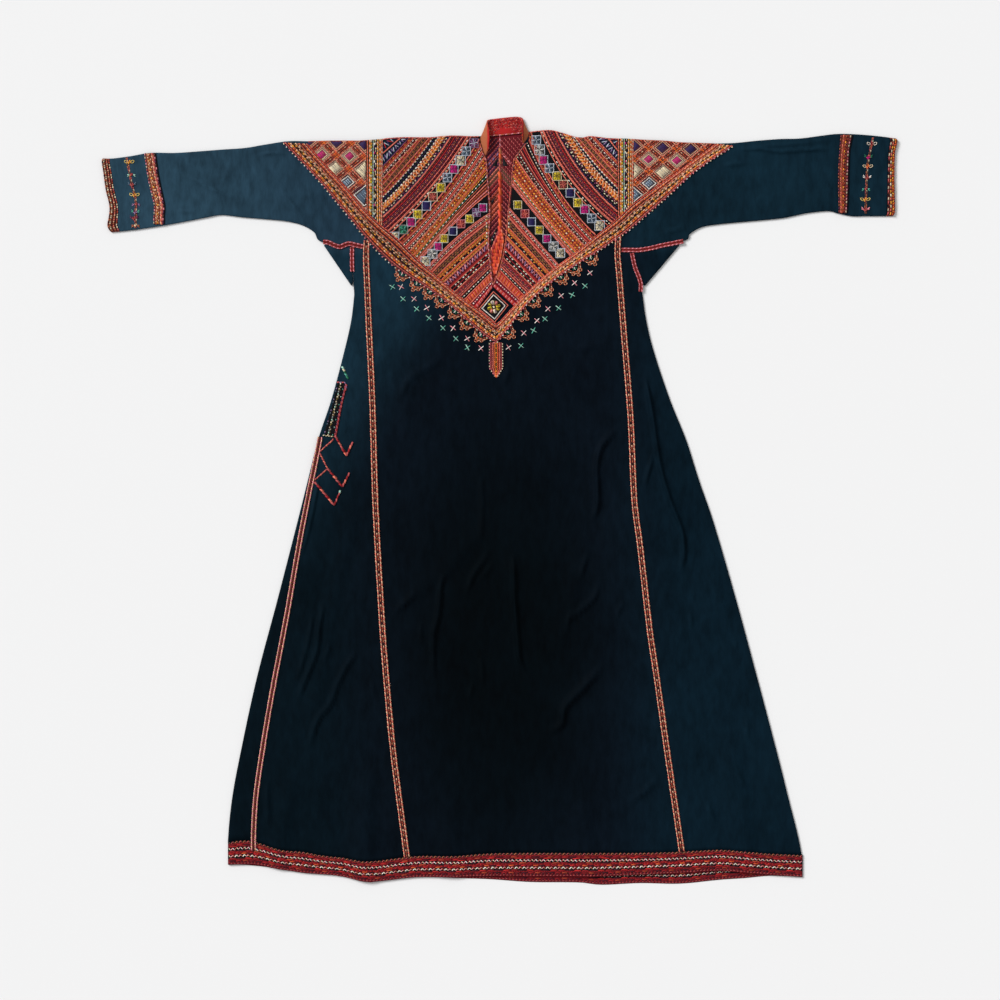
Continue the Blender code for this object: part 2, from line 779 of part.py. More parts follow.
def chest():
    for name, border in (("left", LEFT_BORDER), ("right", RIGHT_BORDER)):
        pairs = []
        for ox, oy, ix, iy in border:
            pairs.append((ox, oy, ix, iy))
        strip("chest_border_" + name, ORANGE, pairs, CORDS_3)
    for name, first, border in (("left", 1, LEFT_BORDER), ("right", 5, RIGHT_BORDER)):
        sense = 1.0 if name == "left" else -1.0
        inner = [(row[2], row[3]) for row in border]
        wall = Wall("chest_" + name, RED)
        rows = []
        for k, entry in enumerate(CHEST_ROWS):
            px, py, qx, qy = entry[first:first + 4]
            high = entry[0]
            after = CHEST_ROWS[min(k + 1, len(CHEST_ROWS) - 1)][0]
            length = math.hypot(qx - px, qy - py)
            px += sense * 1.2 * abs(qx - px) / length
            py += 1.2 * (qy - py) / length
            for lift in (high, after):
                shift = -0.35 if lift is high else 0.35
                row = []
                for share in (0.0, 0.33, 0.67, 1.0):
                    x = mix(px, qx, share) + sense * shift * 0.7
                    y = mix(py, qy, share) - shift * 0.7
                    y = max(y, straight(inner, x) + 1.3)
                    row.append(((x, y, TRIM_BASE + CHEST_WALL + lift), (x, y, TRIM_BASE)))
                rows.append(row)
        wall.grid(rows[:-1])
        built.append(wall.finish())
    strip("shoulder_band_left", ORANGE,
          ((-238.4, 519.9, -211.8, 494.8), (-238.2, 582, -211.4, 582), (-237.6, 648.6, -211.2, 650.2)),
          CORDS_3)
    strip("shoulder_band_right", ORANGE,
          ((239.6, 533.4, 214.2, 509.6), (239.8, 590, 213.8, 590), (240.4, 650.2, 213.6, 651.2)),
          CORDS_3)
    wing("left", -1.0, (-336, -305, -269, -246, -239.4), LEFT_BORDER, LEFT_SLEEVE)
    wing("right", 1.0, (378, 343, 289, 256, 241.2), RIGHT_BORDER, RIGHT_SLEEVE)
    strip("slit_diamond", RED, ((-11.7, 376.6, 15.8, 350.9), (-35.9, 346.3, -8.4, 320.6)), PLAIN, 1.2)
    strip("chest_tab", ORANGE, ((-18.6, 284.2, 6.0, 284.2), (-18.6, 238, 6.6, 238),
                                (-7.0, 222, -4.0, 222)), PLAIN, 1.1)


def wing(name, side, columns, border, sleeve_stations):
    """Embroidered corner between the chest border, the shoulder and the shoulder band."""
    inner = [(row[2], row[3]) for row in border]
    top = [(row[2], row[3]) for row in sleeve_stations]
    pairs = []
    for x in columns:
        pairs.append((x, straight(inner, x) + 1.6, x, straight(top, x) - 0.8))
    strip("wing_" + name, WINE, pairs, ((0.0, 0.0), (0.5, 0.0), (1.0, 0.0)), CHEST_WALL)


def small_trim():
    strip("cuff_band_left", RED, ribbon(((-628, 622.5), (-627, 571), (-611, 532), (-611.5, 497)), 19.0),
          CORDS_3, 0.8)
    strip("cuff_band_right", RED, ribbon(((622, 657.5), (621, 600), (621.5, 560), (622, 517.5)), 24.0),
          CORDS_3, 0.8)
    strip("side_patch", RED, ((-290, 215, -276, 212), (-302, 165, -286, 162), (-315, 116, -295, 114)),
          PLAIN, 0.9)


def neck():
    wall = Wall("back_neck_facing", WINE)
    rows = []
    for k in range(5):
        row = []
        for i in range(5):
            x = mix(-62.0, 72.0, i / 4.0)
            y = mix(shoulder(x) - 3.2, 318.0, k / 4.0)
            row.append(((x, y, WALL + ON_TOP + FACING_WALL), (x, y, WALL + ON_TOP)))
        rows.append(row)
    wall.grid(rows)
    built.append(wall.finish())

    mids = []
    for bx, by, bz, tx, ty, tz in COLLAR:
        mids.append([(mix(bx, tx, t), mix(by, ty, t), mix(bz, tz, t)) for t in (0.0, 0.33, 0.67, 1.0)])
    wall = Wall("collar", ORANGE)
    rows = []
    for k, row in enumerate(mids):
        pairs = []
        for i, p in enumerate(row):
            a = mids[max(k - 1, 0)][i]
            b = mids[min(k + 1, len(mids) - 1)][i]
            c = row[max(i - 1, 0)]
            d = row[min(i + 1, len(row) - 1)]
            u = [b[j] - a[j] for j in range(3)]
            v = [d[j] - c[j] for j in range(3)]
            n = (u[1] * v[2] - u[2] * v[1], u[2] * v[0] - u[0] * v[2], u[0] * v[1] - u[1] * v[0])
            size = math.sqrt(sum(c * c for c in n)) or 1.0
            half = COLLAR_WALL / 2.0
            pairs.append((tuple(p[j] - n[j] / size * half for j in range(3)),
                          tuple(p[j] + n[j] / size * half for j in range(3))))
        rows.append(pairs)
    wall.grid(rows)
    built.append(wall.finish())


def main():
    start_over()
    middle_front()
    middle_back()
    side_panel("side_front_left", 1, 1)
    side_panel("side_back_left", 1, 2)
    side_panel("side_front_right", -1, 1)
    side_panel("side_back_right", -1, 2)
    hem_band()
    sleeve("left", LEFT_SLEEVE, 0.77, 12, -1.0)
    sleeve("right", RIGHT_SLEEVE, 0.5, 13, 1.0)
    gusset("left", (-320.0, 464.6), (-267.0, 458.6), (-263.0, 381.0))
    gusset("right", (329.0, 465.4), (239.4, 451.4), (257.4, 381.0))
    neck()
    chest()
    seam_braids()
    small_trim()


main()
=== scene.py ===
"""Long embroidered dress laid flat: cotton shells on the forms of its solids, with silk
stitches laid on them row by row. Tables are in millimetres: X across the body, Y from
hem to shoulder, Z up from the surface that the dress lies on."""

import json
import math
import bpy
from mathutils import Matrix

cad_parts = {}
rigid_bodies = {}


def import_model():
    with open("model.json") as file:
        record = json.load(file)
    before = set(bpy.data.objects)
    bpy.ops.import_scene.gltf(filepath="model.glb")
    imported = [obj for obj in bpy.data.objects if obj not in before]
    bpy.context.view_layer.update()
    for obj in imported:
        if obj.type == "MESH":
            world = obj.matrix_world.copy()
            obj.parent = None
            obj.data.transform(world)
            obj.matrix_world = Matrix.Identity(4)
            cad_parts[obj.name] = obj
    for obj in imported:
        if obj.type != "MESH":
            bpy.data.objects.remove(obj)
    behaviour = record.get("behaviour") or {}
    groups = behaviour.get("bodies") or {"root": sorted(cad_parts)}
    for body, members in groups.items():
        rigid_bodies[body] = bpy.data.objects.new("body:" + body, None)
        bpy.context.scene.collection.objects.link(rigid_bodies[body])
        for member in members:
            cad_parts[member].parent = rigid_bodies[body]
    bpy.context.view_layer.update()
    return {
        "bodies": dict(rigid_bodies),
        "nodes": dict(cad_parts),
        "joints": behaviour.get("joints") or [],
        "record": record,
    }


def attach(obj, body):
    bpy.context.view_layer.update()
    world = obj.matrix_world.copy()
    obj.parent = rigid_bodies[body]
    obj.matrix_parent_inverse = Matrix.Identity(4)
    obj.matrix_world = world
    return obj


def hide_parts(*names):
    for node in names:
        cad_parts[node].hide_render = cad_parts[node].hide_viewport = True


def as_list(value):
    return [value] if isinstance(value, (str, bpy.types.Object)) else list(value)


bl_info = {
    "name": "Embroidered Dress Laid Flat",
    "version": (1, 0, 0),
    "blender": (4, 5, 0),
    "location": "3D View > Sidebar > Dress",
    "description": "Cloth, stitched chest, sleeves, hem and stage of a long dress",
    "category": "Object",
}

from functools import cache

import bmesh
import bpy
import numpy as np
from bpy.props import FloatProperty, FloatVectorProperty, PointerProperty
from bpy.types import Operator, Panel, PropertyGroup
from mathutils import Matrix, Vector

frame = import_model()

# ---------------------------------------------------------------- reading tables
def word(text):
    """A number where it reads as one, else a name, or names with commas between."""
    try:
        return float(text)
    except ValueError:
        return text


def read(text):
    """Rows of numbers and names, each up to the end of its line or a semicolon."""
    rows = text.replace(";", "\n").splitlines()
    return [tuple(word(part) for part in row.split()) for row in rows if row.strip()]


def linear(colour):
    """Working colour of a red, green and blue out of 255."""
    c = np.array(colour, float) / 255.0
    return np.where(c <= 0.04045, c / 12.92, ((c + 0.055) / 1.055) ** 2.4)


# ---------------------------------------------------------------- sizes of the solids
MM = 0.001
ROLL = 2.0                # radius where the cloth turns over at a fold
FRONT = 2.0 * ROLL        # height of the front layer's upper face
ARC = ROLL * math.pi / 2.0
SEAM_GAP = 0.3
HALF_GAP = SEAM_GAP / 2.0
ON_TOP = 0.3              # between a sewn-on piece and the cloth under it
UNDERARM = 453.0
ARMPIT = 377.0
SLIT_END = 388.0
HEM_REST = -634.0
CENTRE_Y = 0.6
FAR = 99.0                # stands for no edge near
SHOULDER_ENDS = (-225.0, 226.0)
HEM_ENDS = (-487.0, 544.0)
HEM_FOLDS = (-489.0, 546.0)
STRAIGHT_ABOVE = (456.0, 451.0)     # levels over which the left and right seam run straight
CUFF_FEET = ((-687.0, 483.0), (712.0, 512.0))

# body fold lines: level, left fold, right fold
BODY_FOLDS = read("""
375 -261 257; 325 -267 264; 271 -279 277; 181 -303 307; 109 -327 336; 37 -345 359; -35 -363 384
-179 -400 426; -323 -438 465; -467 -469 503; -539 -482 521; -611 -489 539; -656 -489 546
-700 -489 546""")
# seams between middle and side panels: level, x
LEFT_SEAM = read("""
650 -225; 456 -239; 381 -237; 289 -233; 181 -228; -12 -222; -226 -210; -330 -202; -456 -190
-541 -179; -700 -158""")
RIGHT_SEAM = read("""
652 226; 451 213; 411 216; 298 225; 147 237; -4 244; -82 254; -231 271; -320 284; -482 307
-626 328; -700 337""")
# how far the side seam lies round from the fold: level, left (front +), right (back -)
SIDE_SEAM = read("""
375 0 0; 127 0 0; 109 5 -2; 19 9 -6; -80 15 -12; -284 32 -24; -447 40 -34; -622 48 -40
-700 50 -42""")
# lower edge: x, front edge, back edge, height of the hem band
HEM = read("""
-489 -656 -656 40.5; -466 -655.2 -656 43.5; -449 -655 -657 43; -420 -658.3 -660 38
-398 -663.3 -664 35.5; -375 -667 -667 36; -353 -670.3 -670 38; -324 -672.7 -673 34.5
-300 -674.5 -675 33.5; -279 -677.7 -678 34.5; -262 -681.8 -682 35; -246 -685.6 -686 36.5
-230 -686.3 -688 37.5; -214 -685.4 -685 37.5; -192 -682.7 -682 38; -170 -680 -680 38
-143 -678 -678 38.4; -80 -678 -680 38.4; -17 -676.5 -682 41.5; 55 -677 -687 43; 145 -677 -688 43
181 -677 -692 43; 253 -674 -689 40; 325 -671 -690 39; 397 -667 -683 38.4; 442 -670 -680 38.4
487 -674 -676 38.4; 546 -678 -678 40""")
# how far the edge of each cuff is off its straight line, from its lower to its upper corner
CUFF_SWING = {
    "left": read("0 12; .04 15.5; .1 16; .18 11.7; .29 6.4; .38 4.4; .58 4.7; .8 2; .97 0; 1 -3"),
    "right": read("0 4; .04 .5; .3 2; .5 3.6; .8 4; .9 2; .97 .5; 1 3"),
}
# shoulder line: x, level
SHOULDER = read("""
-225 650; -179 654; -125 654; -89 657; -36 656; 56 664; 91 667; 109 663; 145 653; 163 656
199 652; 226 652""")
# front neck opening: level, left edge, right edge
SLIT = read("""
388 -12 -12; 415 -15 0; 460 -19 10; 523 -17 16; 577 -21 22; 613 -24 26; 626 -30 35; 647 -35 50
660 -36 56; 670 -36 58""")
# sleeve sections from cuff to armhole: lower x, lower y, upper x, upper y
LEFT_SLEEVE = read("""
-687 483 -717 616; -669 485 -698 616; -644 489 -665 620; -611 494 -629 626; -572 501 -584 626
-530 509 -539 629; -500 514 -500 632; -464 510 -458 635; -428 507 -422 641; -386 503 -381 647
-356 496 -341 647; -334 483 -305 648; -321 466 -287 648; -266 460 -251 648
-239 456 -225 650""")
RIGHT_SLEEVE = read("""
712 512 717 652; 685 512 692 655; 660 512 663 658; 634 512 631 660; 609 517 606 660
591 521 580 657; 552 517 541 652; 514 509 505 651; 478 505 464 648; 433 501 424 644
393 497 388 643; 364 492 356 644; 343 480 325 645; 330 467 298 648; 238 453 253 650
213 451 226 652""")
# broad swells of the front layer: start x, start y, end x, end y, half width, height
SWELLS = read("""
-262 10 -336 -402 26 1.6; 26 -80 38 -290 22 1.6; -111 -150 -119 -285 20 1.2
-13 -37 -185 -205 24 1.5; 197 89 159 -44 22 1.4; 159 -44 105 -285 24 1.6
190 -296 78 -408 24 1.4; 275 262 318 110 18 1.4; 289 53 335 -60 18 1.4
-236 -470 -240 -760 34 3.6; -90 -540 -84 -760 36 2.8; 150 -520 170 -760 40 3.2
-380 -480 -404 -760 32 2.6; 420 -420 452 -760 36 3.2; -150 262 -176 90 20 1
120 270 170 100 22 1; 380 -60 420 -230 22 1.2; -470 622 -520 528 20 .9; 400 630 430 520 20 .9
560 650 540 540 20 .8""")
# crisp folds of the front layer: half width, height, then the points of its line
FOLDS = read("""
9 1.8 -94 262 -125 240 -158 220 -174 194 -188 172
6 1.8 21 249 12 220 6 202
7 2.2 127 271 163 278 190 280
7 4.2 219 132 186 100 176 64 177 19 176 -14 163 -44
6 2.5 163 -86 150 -125 141 -147
6.5 3.2 181 -140 174 -170 159 -188 136 -206 127 -210 120 -242
6 4.4 26 -93 28 -179 33 -251 37 -287 55 -314
6 3.1 -14 -86 -26 -107 -46 -134 -62 -176
5 2.1 -4 -107 -39 -147
6.5 3.4 -80 -122 -102 -143 -107 -179 -111 -215 -118 -242 -118 -323
6 3.6 -143 -161 -165 -181 -194 -206
5 1.8 -141 -215 -140 -260
8 1.4 -35 55 -30 1 -33 -86
6 1.7 -33 -269 -28 -341
6 1.7 -44 -323 -57 -368
6 3.4 -336 91 -341 55 -354 1 -361 -53 -377 -98 -395 -143 -410 -179
5 2 -323 55 -332 1 -343 -53 -359 -104 -374 -143
5 2 -325 172 -343 127 -350 105
6.5 3.6 -314 -179 -323 -224 -328 -269 -341 -305 -356 -341 -361 -368
5 2.1 -334 -197 -343 -251 -354 -291 -366 -332
5 2 -302 -251 -316 -296
6.5 3.6 -248 -269 -273 -296 -291 -332 -305 -368 -327 -395 -338 -431 -345 -449
6 2.6 -417 -494 -417 -539 -413 -593
7 4.2 262 226 274 163 282 109 289 64 307 1 328 -53 332 -98 325 -134
6 2.5 280 91 267 46 262 19
9 4.2 192 -296 168 -320 148 -341 118 -374 112 -404 82 -422
7 2.9 294 -494 271 -516 249 -534 226 -548
6 2.2 424 -485 442 -512 451 -521
6 2.2 370 -539 384 -566 390 -584
5 2 514 -521 501 -548
6 1.8 447 -386 446 -440
5 1.7 343 -197 348 -233
5 1.4 424 -251 428 -269
6 2.1 226 -179 208 -215
5 1.7 -230 -323 -224 -350
6 3.4 -395 573 -386 554 -375 537 -359 518 -345 500
5 1.7 -341 568 -336 523
5 2.2 -440 622 -410 626 -377 624
7 2.5 -572 591 -536 573 -512 559 -480 544
5 1.7 -584 523 -548 518
6 1.2 -489 598 -490 573
5 2.9 422 632 469 634 498 629 541 631 602 634
4.5 2 433 640 498 640 602 651
6 2 393 602 422 606 451 609
6 2.5 289 480 318 487 336 494
7 1.2 462 548 480 541""")
# folds of the layer underneath: start x, start y, end x, end y, half width, height
BACK_FOLDS = read("""
-150 240 -190 -60 26 1.2; 40 160 20 -180 28 1.3; 170 120 140 -200 26 1.2
-60 -160 -110 -460 28 1.3; 90 -260 120 -560 30 1.3; -180 -300 -172 -600 26 1.2
240 -160 262 -480 24 1.2; -280 120 -340 -200 22 1.1; -350 -240 -420 -560 24 1.2
300 160 340 -100 22 1.1; 380 -120 450 -440 24 1.2; -500 610 -520 530 18 1
-360 620 -380 520 18 1; 400 630 420 520 18 1; 560 640 540 540 18 1""")
# chest border, from the shoulder to its point: outer x, outer y, inner x, inner y
LEFT_BORDER = read("""
-388 644 -347 642; -325 577 -305 594; -290 535 -269 554; -266 506 -246 526; -238 471 -217 498
-203 435 -182 469; -170 409 -147 433; -134 386 -114 404; -92 356 -73 368; -55 322 -34 340
-24 296 -14 323; -6.2 284 -6.4 317""")
RIGHT_BORDER = read("""
420 638 390 642; 354 594 343 607; 305 550 289 568; 257 508 237 530; 230 485 213 507
191 458 178 479; 153 434 143 450; 103 401 93 413; 63 367 53 377; 38 340 27 350; 14 308 4 325
-5.8 284 -5.4 317""")
# collar from its left front end round the back: foot x, y, z and upper edge x, y, z
COLLAR = read("""
-24.6 622 3.6 -19.4 633 11; -29.2 635 3.6 -18 649 15; -31.4 646 3.6 -18.5 664 14
-32.2 655 3.4 -20.6 676 9.5; -28 659.9 2.4 -20.5 684.5 4.6; -14 659.9 1.8 -9 687.2 2
4 661.2 1.6 6 689 1.6; 22 662.8 1.6 22 690.6 1.6; 38 664.6 1.8 34 690.8 2.2
49 665.8 2.4 40.6 687.4 5.2; 51.6 660.6 3.4 40.2 677 9.5; 48.2 652 3.6 40.4 664 13
43 644 3.6 41.2 652 11""")

# ---------------------------------------------------------------- silk
# thread colours as red, green and blue out of 255
DYES = {name: linear(colour) for name, *colour in read("""
black 10 12 17; ink 14 26 38; navy 44 36 92; wine 114 22 34; red 198 40 40; salmon 234 122 102
orange 236 120 48; amber 246 170 60; cream 242 226 190; white 248 242 234; pink 240 150 160
magenta 196 24 120; yellow 238 212 44; green 40 116 84; teal 92 178 156; grey 158 160 158
slate 92 112 132; olive 122 100 46; brown 188 108 72; plum 104 44 84; rust 178 72 46
mauve 150 118 160; brick 122 48 36; coal 26 16 22; scarlet 216 70 48; garnet 72 18 32
crimson 150 26 34; umber 112 70 56; rose 186 84 84; dusk 64 24 48; flame 228 96 48
mint 176 220 200; frost 200 208 220; sand 206 184 156; peach 242 188 152""")}
DYE_NAMES = tuple(DYES)

# chest rows from the shoulder corner down to the point. Each lies above the line that is
# named here: kind, left border x, y, left neck x, y, left sag, the same for the right
CHEST_ROWS = read("""
patch -209.7 623.7 -180 649.4 0 212.4 628.4 193 653.2 0
navy_zigzag -209.7 602.1 -166.5 648.9 .1 212.4 609.8 171.2 653.8 .2
red_cords -209.7 590.4 -155.7 650.7 .2 212.4 603.9 165.6 654.3 .4
black_dashes -209.7 579.6 -146.7 650.2 .3 212.4 592.2 155.7 654.8 .6
red_cords -209.7 568.8 -141.3 650.7 .4 212.4 584.1 150.3 654.3 .8
olive_fill -209.7 557.1 -126.9 651.6 .5 212.4 572.6 139.5 654.3 1
red_cords -209.7 548.1 -121.5 652.5 3.5 212.4 562.5 132.3 657.9 3
navy_dashes -210.6 531.9 -108.9 654.3 5.5 212.4 551.7 127.8 659.3 5
plait -211.5 517.5 -94.5 655.2 7 212.4 533.7 108.9 662.9 7.5
dark_dashes -215.1 506.7 -88.2 656.1 7.5 211.5 521.1 101.7 665.1 9.5
wine_cords -205.2 479.7 -56.7 654.3 8 202.1 501.3 78.3 663.3 12.3
fine_dashes -202.5 475.2 -53.1 652.5 8.6 194.9 494.8 74.7 661.5 12.8
lozenges -187.2 463.5 -36.9 649.8 9.5 171 479.7 57.6 659.7 13
red_cords -180.9 455.4 -33.3 638.1 8.5 164.7 472.5 54 647.1 10.5
white_rope -175.5 451.8 -30.6 630.9 7 160.2 469.8 45.9 634.5 8
red_cord -171 449.1 -29.7 624.6 5.5 155.7 465.3 38.7 623.7 6
black_dashes -164.7 445.5 -28.8 616.5 4 150.3 460.8 33.3 611.1 4.2
orange_braid -155.7 440.1 -26.1 594.9 1.8 135 450.9 26.1 582.3 2.2
orange_cord -152.1 437.4 -25.2 585.9 -.8 132.3 449.1 25.7 579.6 1.5
green_dashes -145.8 433.8 -23.4 566.1 -2.5 128.7 446.4 25.2 571.5 1
pale_cord -143.1 431.6 -21.6 551.7 -4 125.1 442.8 24.7 564.3 .8
lozenges -129.6 420.3 -17.1 517.5 -5.6 101.7 429.3 20.7 522.9 .5
pale_cord -126.9 417.6 -17.1 513 -4.8 99.9 426.6 20.2 519.3 .2
black_dashes -123.3 414.9 -16.7 508.5 -4 97.2 423 19.3 512.1 0
red_cord -119.7 412.6 -16.6 503.1 -3 94.5 419.4 18.9 506.7 0
olive_fill -110.7 405 -16 490.5 -2 86.4 413.1 17.5 488.7 0
orange_cord -107.1 402.3 -15.7 485.1 -1.3 83.7 410.4 17.1 483.3 0
yellow_dots -102.6 398.7 -15.3 476.1 -.7 78.3 405.9 16.2 472.5 0
orange_cord -98.1 395.1 -15.3 470.7 0 75.6 402.3 15.3 468 0
pink_zigzag -87.3 387.9 -15.3 454.5 0 67.5 395.1 12.6 452.7 0
red_cord -84.6 386.1 -15.3 450.9 0 64.8 391.5 12.2 449.1 0
double_rope -76.5 379.8 -14.9 439.2 0 58.5 386.1 9.9 434.7 0
wine_cords -65.7 371.7 -14.4 422.1 0 46.8 377.1 5.4 417.6 0
white_rope -58.5 366.3 -13.9 411.3 0 40.5 372.6 3.6 411.3 0
orange_fill -49.5 357.3 -13.5 396.9 0 31.5 364.5 -1.8 396.9 0
pink_dots -44.1 351.9 -13.1 389.7 0 26.1 359.1 -6.3 387.9 0
red_fill -38.7 346.5 -12.8 382.5 0 21.6 353.7 -9 382.5 0""")
# what is stitched in a row of each kind: cloth under it, height of its rib, then threads as
# way of stitching, place or two places across the row, colours, thread width, pitch, share
ROW_KINDS = {}
for first, *row in read("""
patch ink .2; cord .94 salmon 2; zigzag .3 .8 frost,navy,red 1.4 6
navy_zigzag ink .3; zigzag .2 .8 frost,navy,mauve 1.4 4.8; cord .97 navy 1.5
red_cords garnet .3; cord .07 salmon 1.5; dash .28 crimson,coal 1.4 5 .8
dash .5 amber,rust,red 1.5 3.4 .9; cord .73 rust 1.4; cord .95 salmon 1.5
black_dashes black .2; cord .04 crimson 1.3; dash .3 white,sand 1.6 5.6 .72; cord .52 wine 1.2
dash .74 sand,coal,cream 1.4 5 .62; cord 1 salmon 1.4
olive_fill garnet .4; cord .04 salmon 1.5; dash .18 umber,coal 1.5 5 .85
cord .32 brown,umber 1.5; dash .47 olive,coal 1.6 5.4 .8; cord .62 umber,brown 1.5
dash .78 coal,olive 1.5 5 .8; cord .95 salmon 1.5
navy_dashes black .3; dash .12 white,cream 1.8 6.5 .66; span .3 .7 ink,black,navy 1.5 2.6
dash .86 cream,white 1.8 6.5 .66; cord 1 salmon 1.3
plait brick .5; zigzag .1 .46 orange,amber 1.9 7.4; zagzig .1 .46 peach,orange 1.9 7.4
zigzag .44 .8 amber,orange 1.9 7.4; zagzig .44 .8 orange,peach 1.9 7.4
dash .02 cream,coal 1.5 5.2 .6; dash .89 coal,plum 1.9 4.6 .9
dash .97 cream,pink,coal 1.4 5 .6
fine_dashes black .2; cord .08 salmon 1.3; dash .55 white,ink,cream 1.6 6.5 .6
orange_braid rust .4; cord .05 salmon 1.5; dash .2 orange,amber 1.8 5.2 .75
dash .36 garnet,rust 1.5 4.6 .8; dash .5 amber,orange,cream 2 5.6 .7
dash .65 garnet,rust 1.5 4.6 .8; dash .8 orange,amber 1.8 5.2 .75; cord .96 salmon 1.5
dark_dashes black .2; dash .25 cream,cream,plum 1.8 6.2 .6; dash .72 plum,navy 1.7 4.6 .8
cord 1 salmon 1.3
wine_cords garnet .5; cord .05 salmon 1.7; dash .17 wine,umber 1.5 3.8 .9
cord .28 crimson,red 1.7; dash .4 plum,rose 1.4 3.6 .9; dash .5 umber,rose,brown 1.6 4.4 .9
dash .6 wine,plum 1.4 3.8 .9; cord .71 rose,salmon 1.7; dash .83 garnet,crimson 1.5 4 .9
cord .95 salmon 1.7
lozenges black .2; cord 0 salmon 1.5; cord 1 salmon 1.5
white_rope black .3; cord .1 crimson 1.2; dash .46 white,sand 1.6 5.6 .72; cord .98 salmon 1.3
red_cord garnet .2; cord .3 red 1.6; cord .8 salmon 1.5
orange_cord coal .3; cord .28 orange,flame 1.6; cord .8 amber,brown 1.4
green_dashes coal .2; dash .22 white,green 1.7 4.4 .8; cord .52 rust,brown 1.3
cord .85 salmon 1.7
pale_cord brick .3; cord .2 brown,rust 1.3; cord .62 pink,salmon 1.6
yellow_dots coal .3; cord .12 rust,orange 1.5; dash .55 amber,cream,coal 2 6.4 .5
cord .95 salmon 1.3
pink_zigzag garnet .3; cord .05 salmon 1.5; zigzag .2 .8 rose,pink,mauve 1.6 6
cord .95 crimson 1.5
double_rope black .3; dash .2 white,cream,coal 1.8 6 .6; cord .5 crimson 1.4
dash .8 cream,white,coal 1.8 6 .6
orange_fill red .4; span .1 .9 orange,red,salmon 1.6 2; cord .96 salmon 1.6
pink_dots wine .3; dash .5 pink,white 1.9 4.4 .65
red_fill red .4; span .1 .9 red,salmon,pink 1.6 2.2"""):
    if first in ("cord", "dash", "span", "zigzag", "zagzig"):
        threads.append((first, *row))
    else:
        threads = []
        ROW_KINDS[first] = (*row, threads)

# lozenge rows: by side and half size, the colour and place of each
LOZENGES = {
    "left": {
        7.6: read("""
cream -190 474; green -172.6 487.6; magenta -158.9 501.3; yellow -147 514.8
navy -131.4 530.1; orange -119.7 546.7; yellow -105.7 563; slate -93.6 580.9
magenta -82.2 596.4; cream -69.8 611.8; slate -59.6 628.4; mauve -46.2 643"""),
        7.0: read("""
cream -133.2 430.7; grey -120.6 443.7; magenta -110.2 456.8; yellow -99.8 471.2
navy -83.7 484.6; red -69.3 497.7; yellow -53.8 506.7; mauve -41.4 518.2
magenta -30.1 526.5"""),
    },
    "right": {
        7.6: read("""
slate 66.4 648.5; grey 72.4 630.9; magenta 79.2 612.5; slate 89.8 597.8
yellow 103.5 583.6; orange 114.8 568.4; navy 127.6 553.5; yellow 141.1 536
magenta 153.4 523.8; slate 166 507.6; cream 180.2 494.8"""),
        7.0: read("""
yellow 32.9 531.9; red 45.9 515.9; navy 57.8 501.3; yellow 71.6 486.5
magenta 85.3 470.9; grey 97.4 457.2; cream 109.3 445.1"""),
    },
}
# lozenges of each colour: fill, rim, width of the rim thread, colours of the star
LOZENGE_TRIM = {dye: row for dye, *row in read("""
yellow yellow cream 1 olive; navy navy frost 1.3; magenta magenta frost 1.1 plum,magenta
slate slate frost 1.2 frost,ink; orange brick cream 1 salmon,rose
red crimson pink 1 salmon,rose; green green grey 1.1 ink,teal; cream cream frost 1.1 grey,coal
grey grey frost 1.1 white,coal; mauve plum mauve 1 frost,mauve""")}
# threads of the chest border and the shoulder bands from outer to inner edge, as in a row
# Within a row, the lighter and darker dyes that take turns stand partly for the threads' own
# colours and partly for painted highlights and painted shade along the twisted cords.
BORDER_THREADS = read("""
dash -.065 cream,white,pink 2.1 7.6 .36; cord 0 rose,garnet 1.5; cord .07 salmon,rose 1.7
cord .13 garnet 1.1; dash .2 orange,peach,flame 2.5 6 .98
dash .29 peach,amber,brown 2.2 5.2 .98; cord .36 garnet 1.2
dash .435 olive,amber,coal,peach 2 4.8 .9; cord .52 peach,brown 2
dash .595 brown,sand,coal 1.8 4.6 .9; cord .67 salmon,brown 1.8; cord .735 garnet 1.2
dash .81 flame,rust,orange 2.2 6 .98; cord .885 peach,salmon 1.5; cord .94 garnet 1.1
cord .995 salmon,scarlet 1.8""")
BAND_THREADS = read("""
cord .015 salmon,brown 1.7; cord .085 coal 1.2; cord .165 orange,peach 2.2
dash .255 amber,cream,yellow 2.2 5.2 .94; cord .33 coal 1.3; cord .4 mint,sand 1.5
dash .48 navy,white,olive,coal,magenta,coal 2 5.2 .9; dash .555 cream,coal,sand 1.7 4.6 .9
dash .63 coal,brown 1.7 4.6 .8; cord .705 peach,amber 1.9; dash .785 coal,olive 1.6 4.4 .8
cord .86 orange,peach 2.1; cord .925 garnet 1.1; cord .985 peach,salmon 1.8""")
# shoulder bands from their foot to the shoulder: outer x, outer y, inner x, inner y
SHOULDER_BANDS = {
    "left": read("""
-238.4 519.9 -211.8 494.8; -238.3 550 -211.6 550; -238.2 582 -211.4 582
-237.6 648.6 -211.2 650.2"""),
    "right": read("""
214.2 509.6 239.6 533.4; 214 560 239.7 560; 213.8 590 239.8 590
213.6 651.2 240.4 650.2"""),
}
HEM_THREADS = read("""
zigzag .01 .09 umber,rose,umber,brown 1.3 7.2; cord .125 crimson 1.5
dash .175 crimson,red,garnet,crimson,rust 1.7 13 .95; dash .23 red,crimson,wine 1.7 17 .96
zigzag .285 .375 cream,pink,white,rose 1.4 7; dash .43 crimson,garnet,crimson,rust 1.7 15 .96
cord .485 red,crimson 1.6; dash .54 red,crimson,flame,garnet 1.7 11 .95
zigzag .605 .69 cream,pink,brown,white 1.4 7; dash .75 crimson,garnet,red 1.7 14 .95
cord .8 crimson 1.6; dash .855 garnet,crimson,rust,wine 1.7 12 .95; cord .91 crimson,garnet 1.6
cord .965 wine,rose 1.5""")
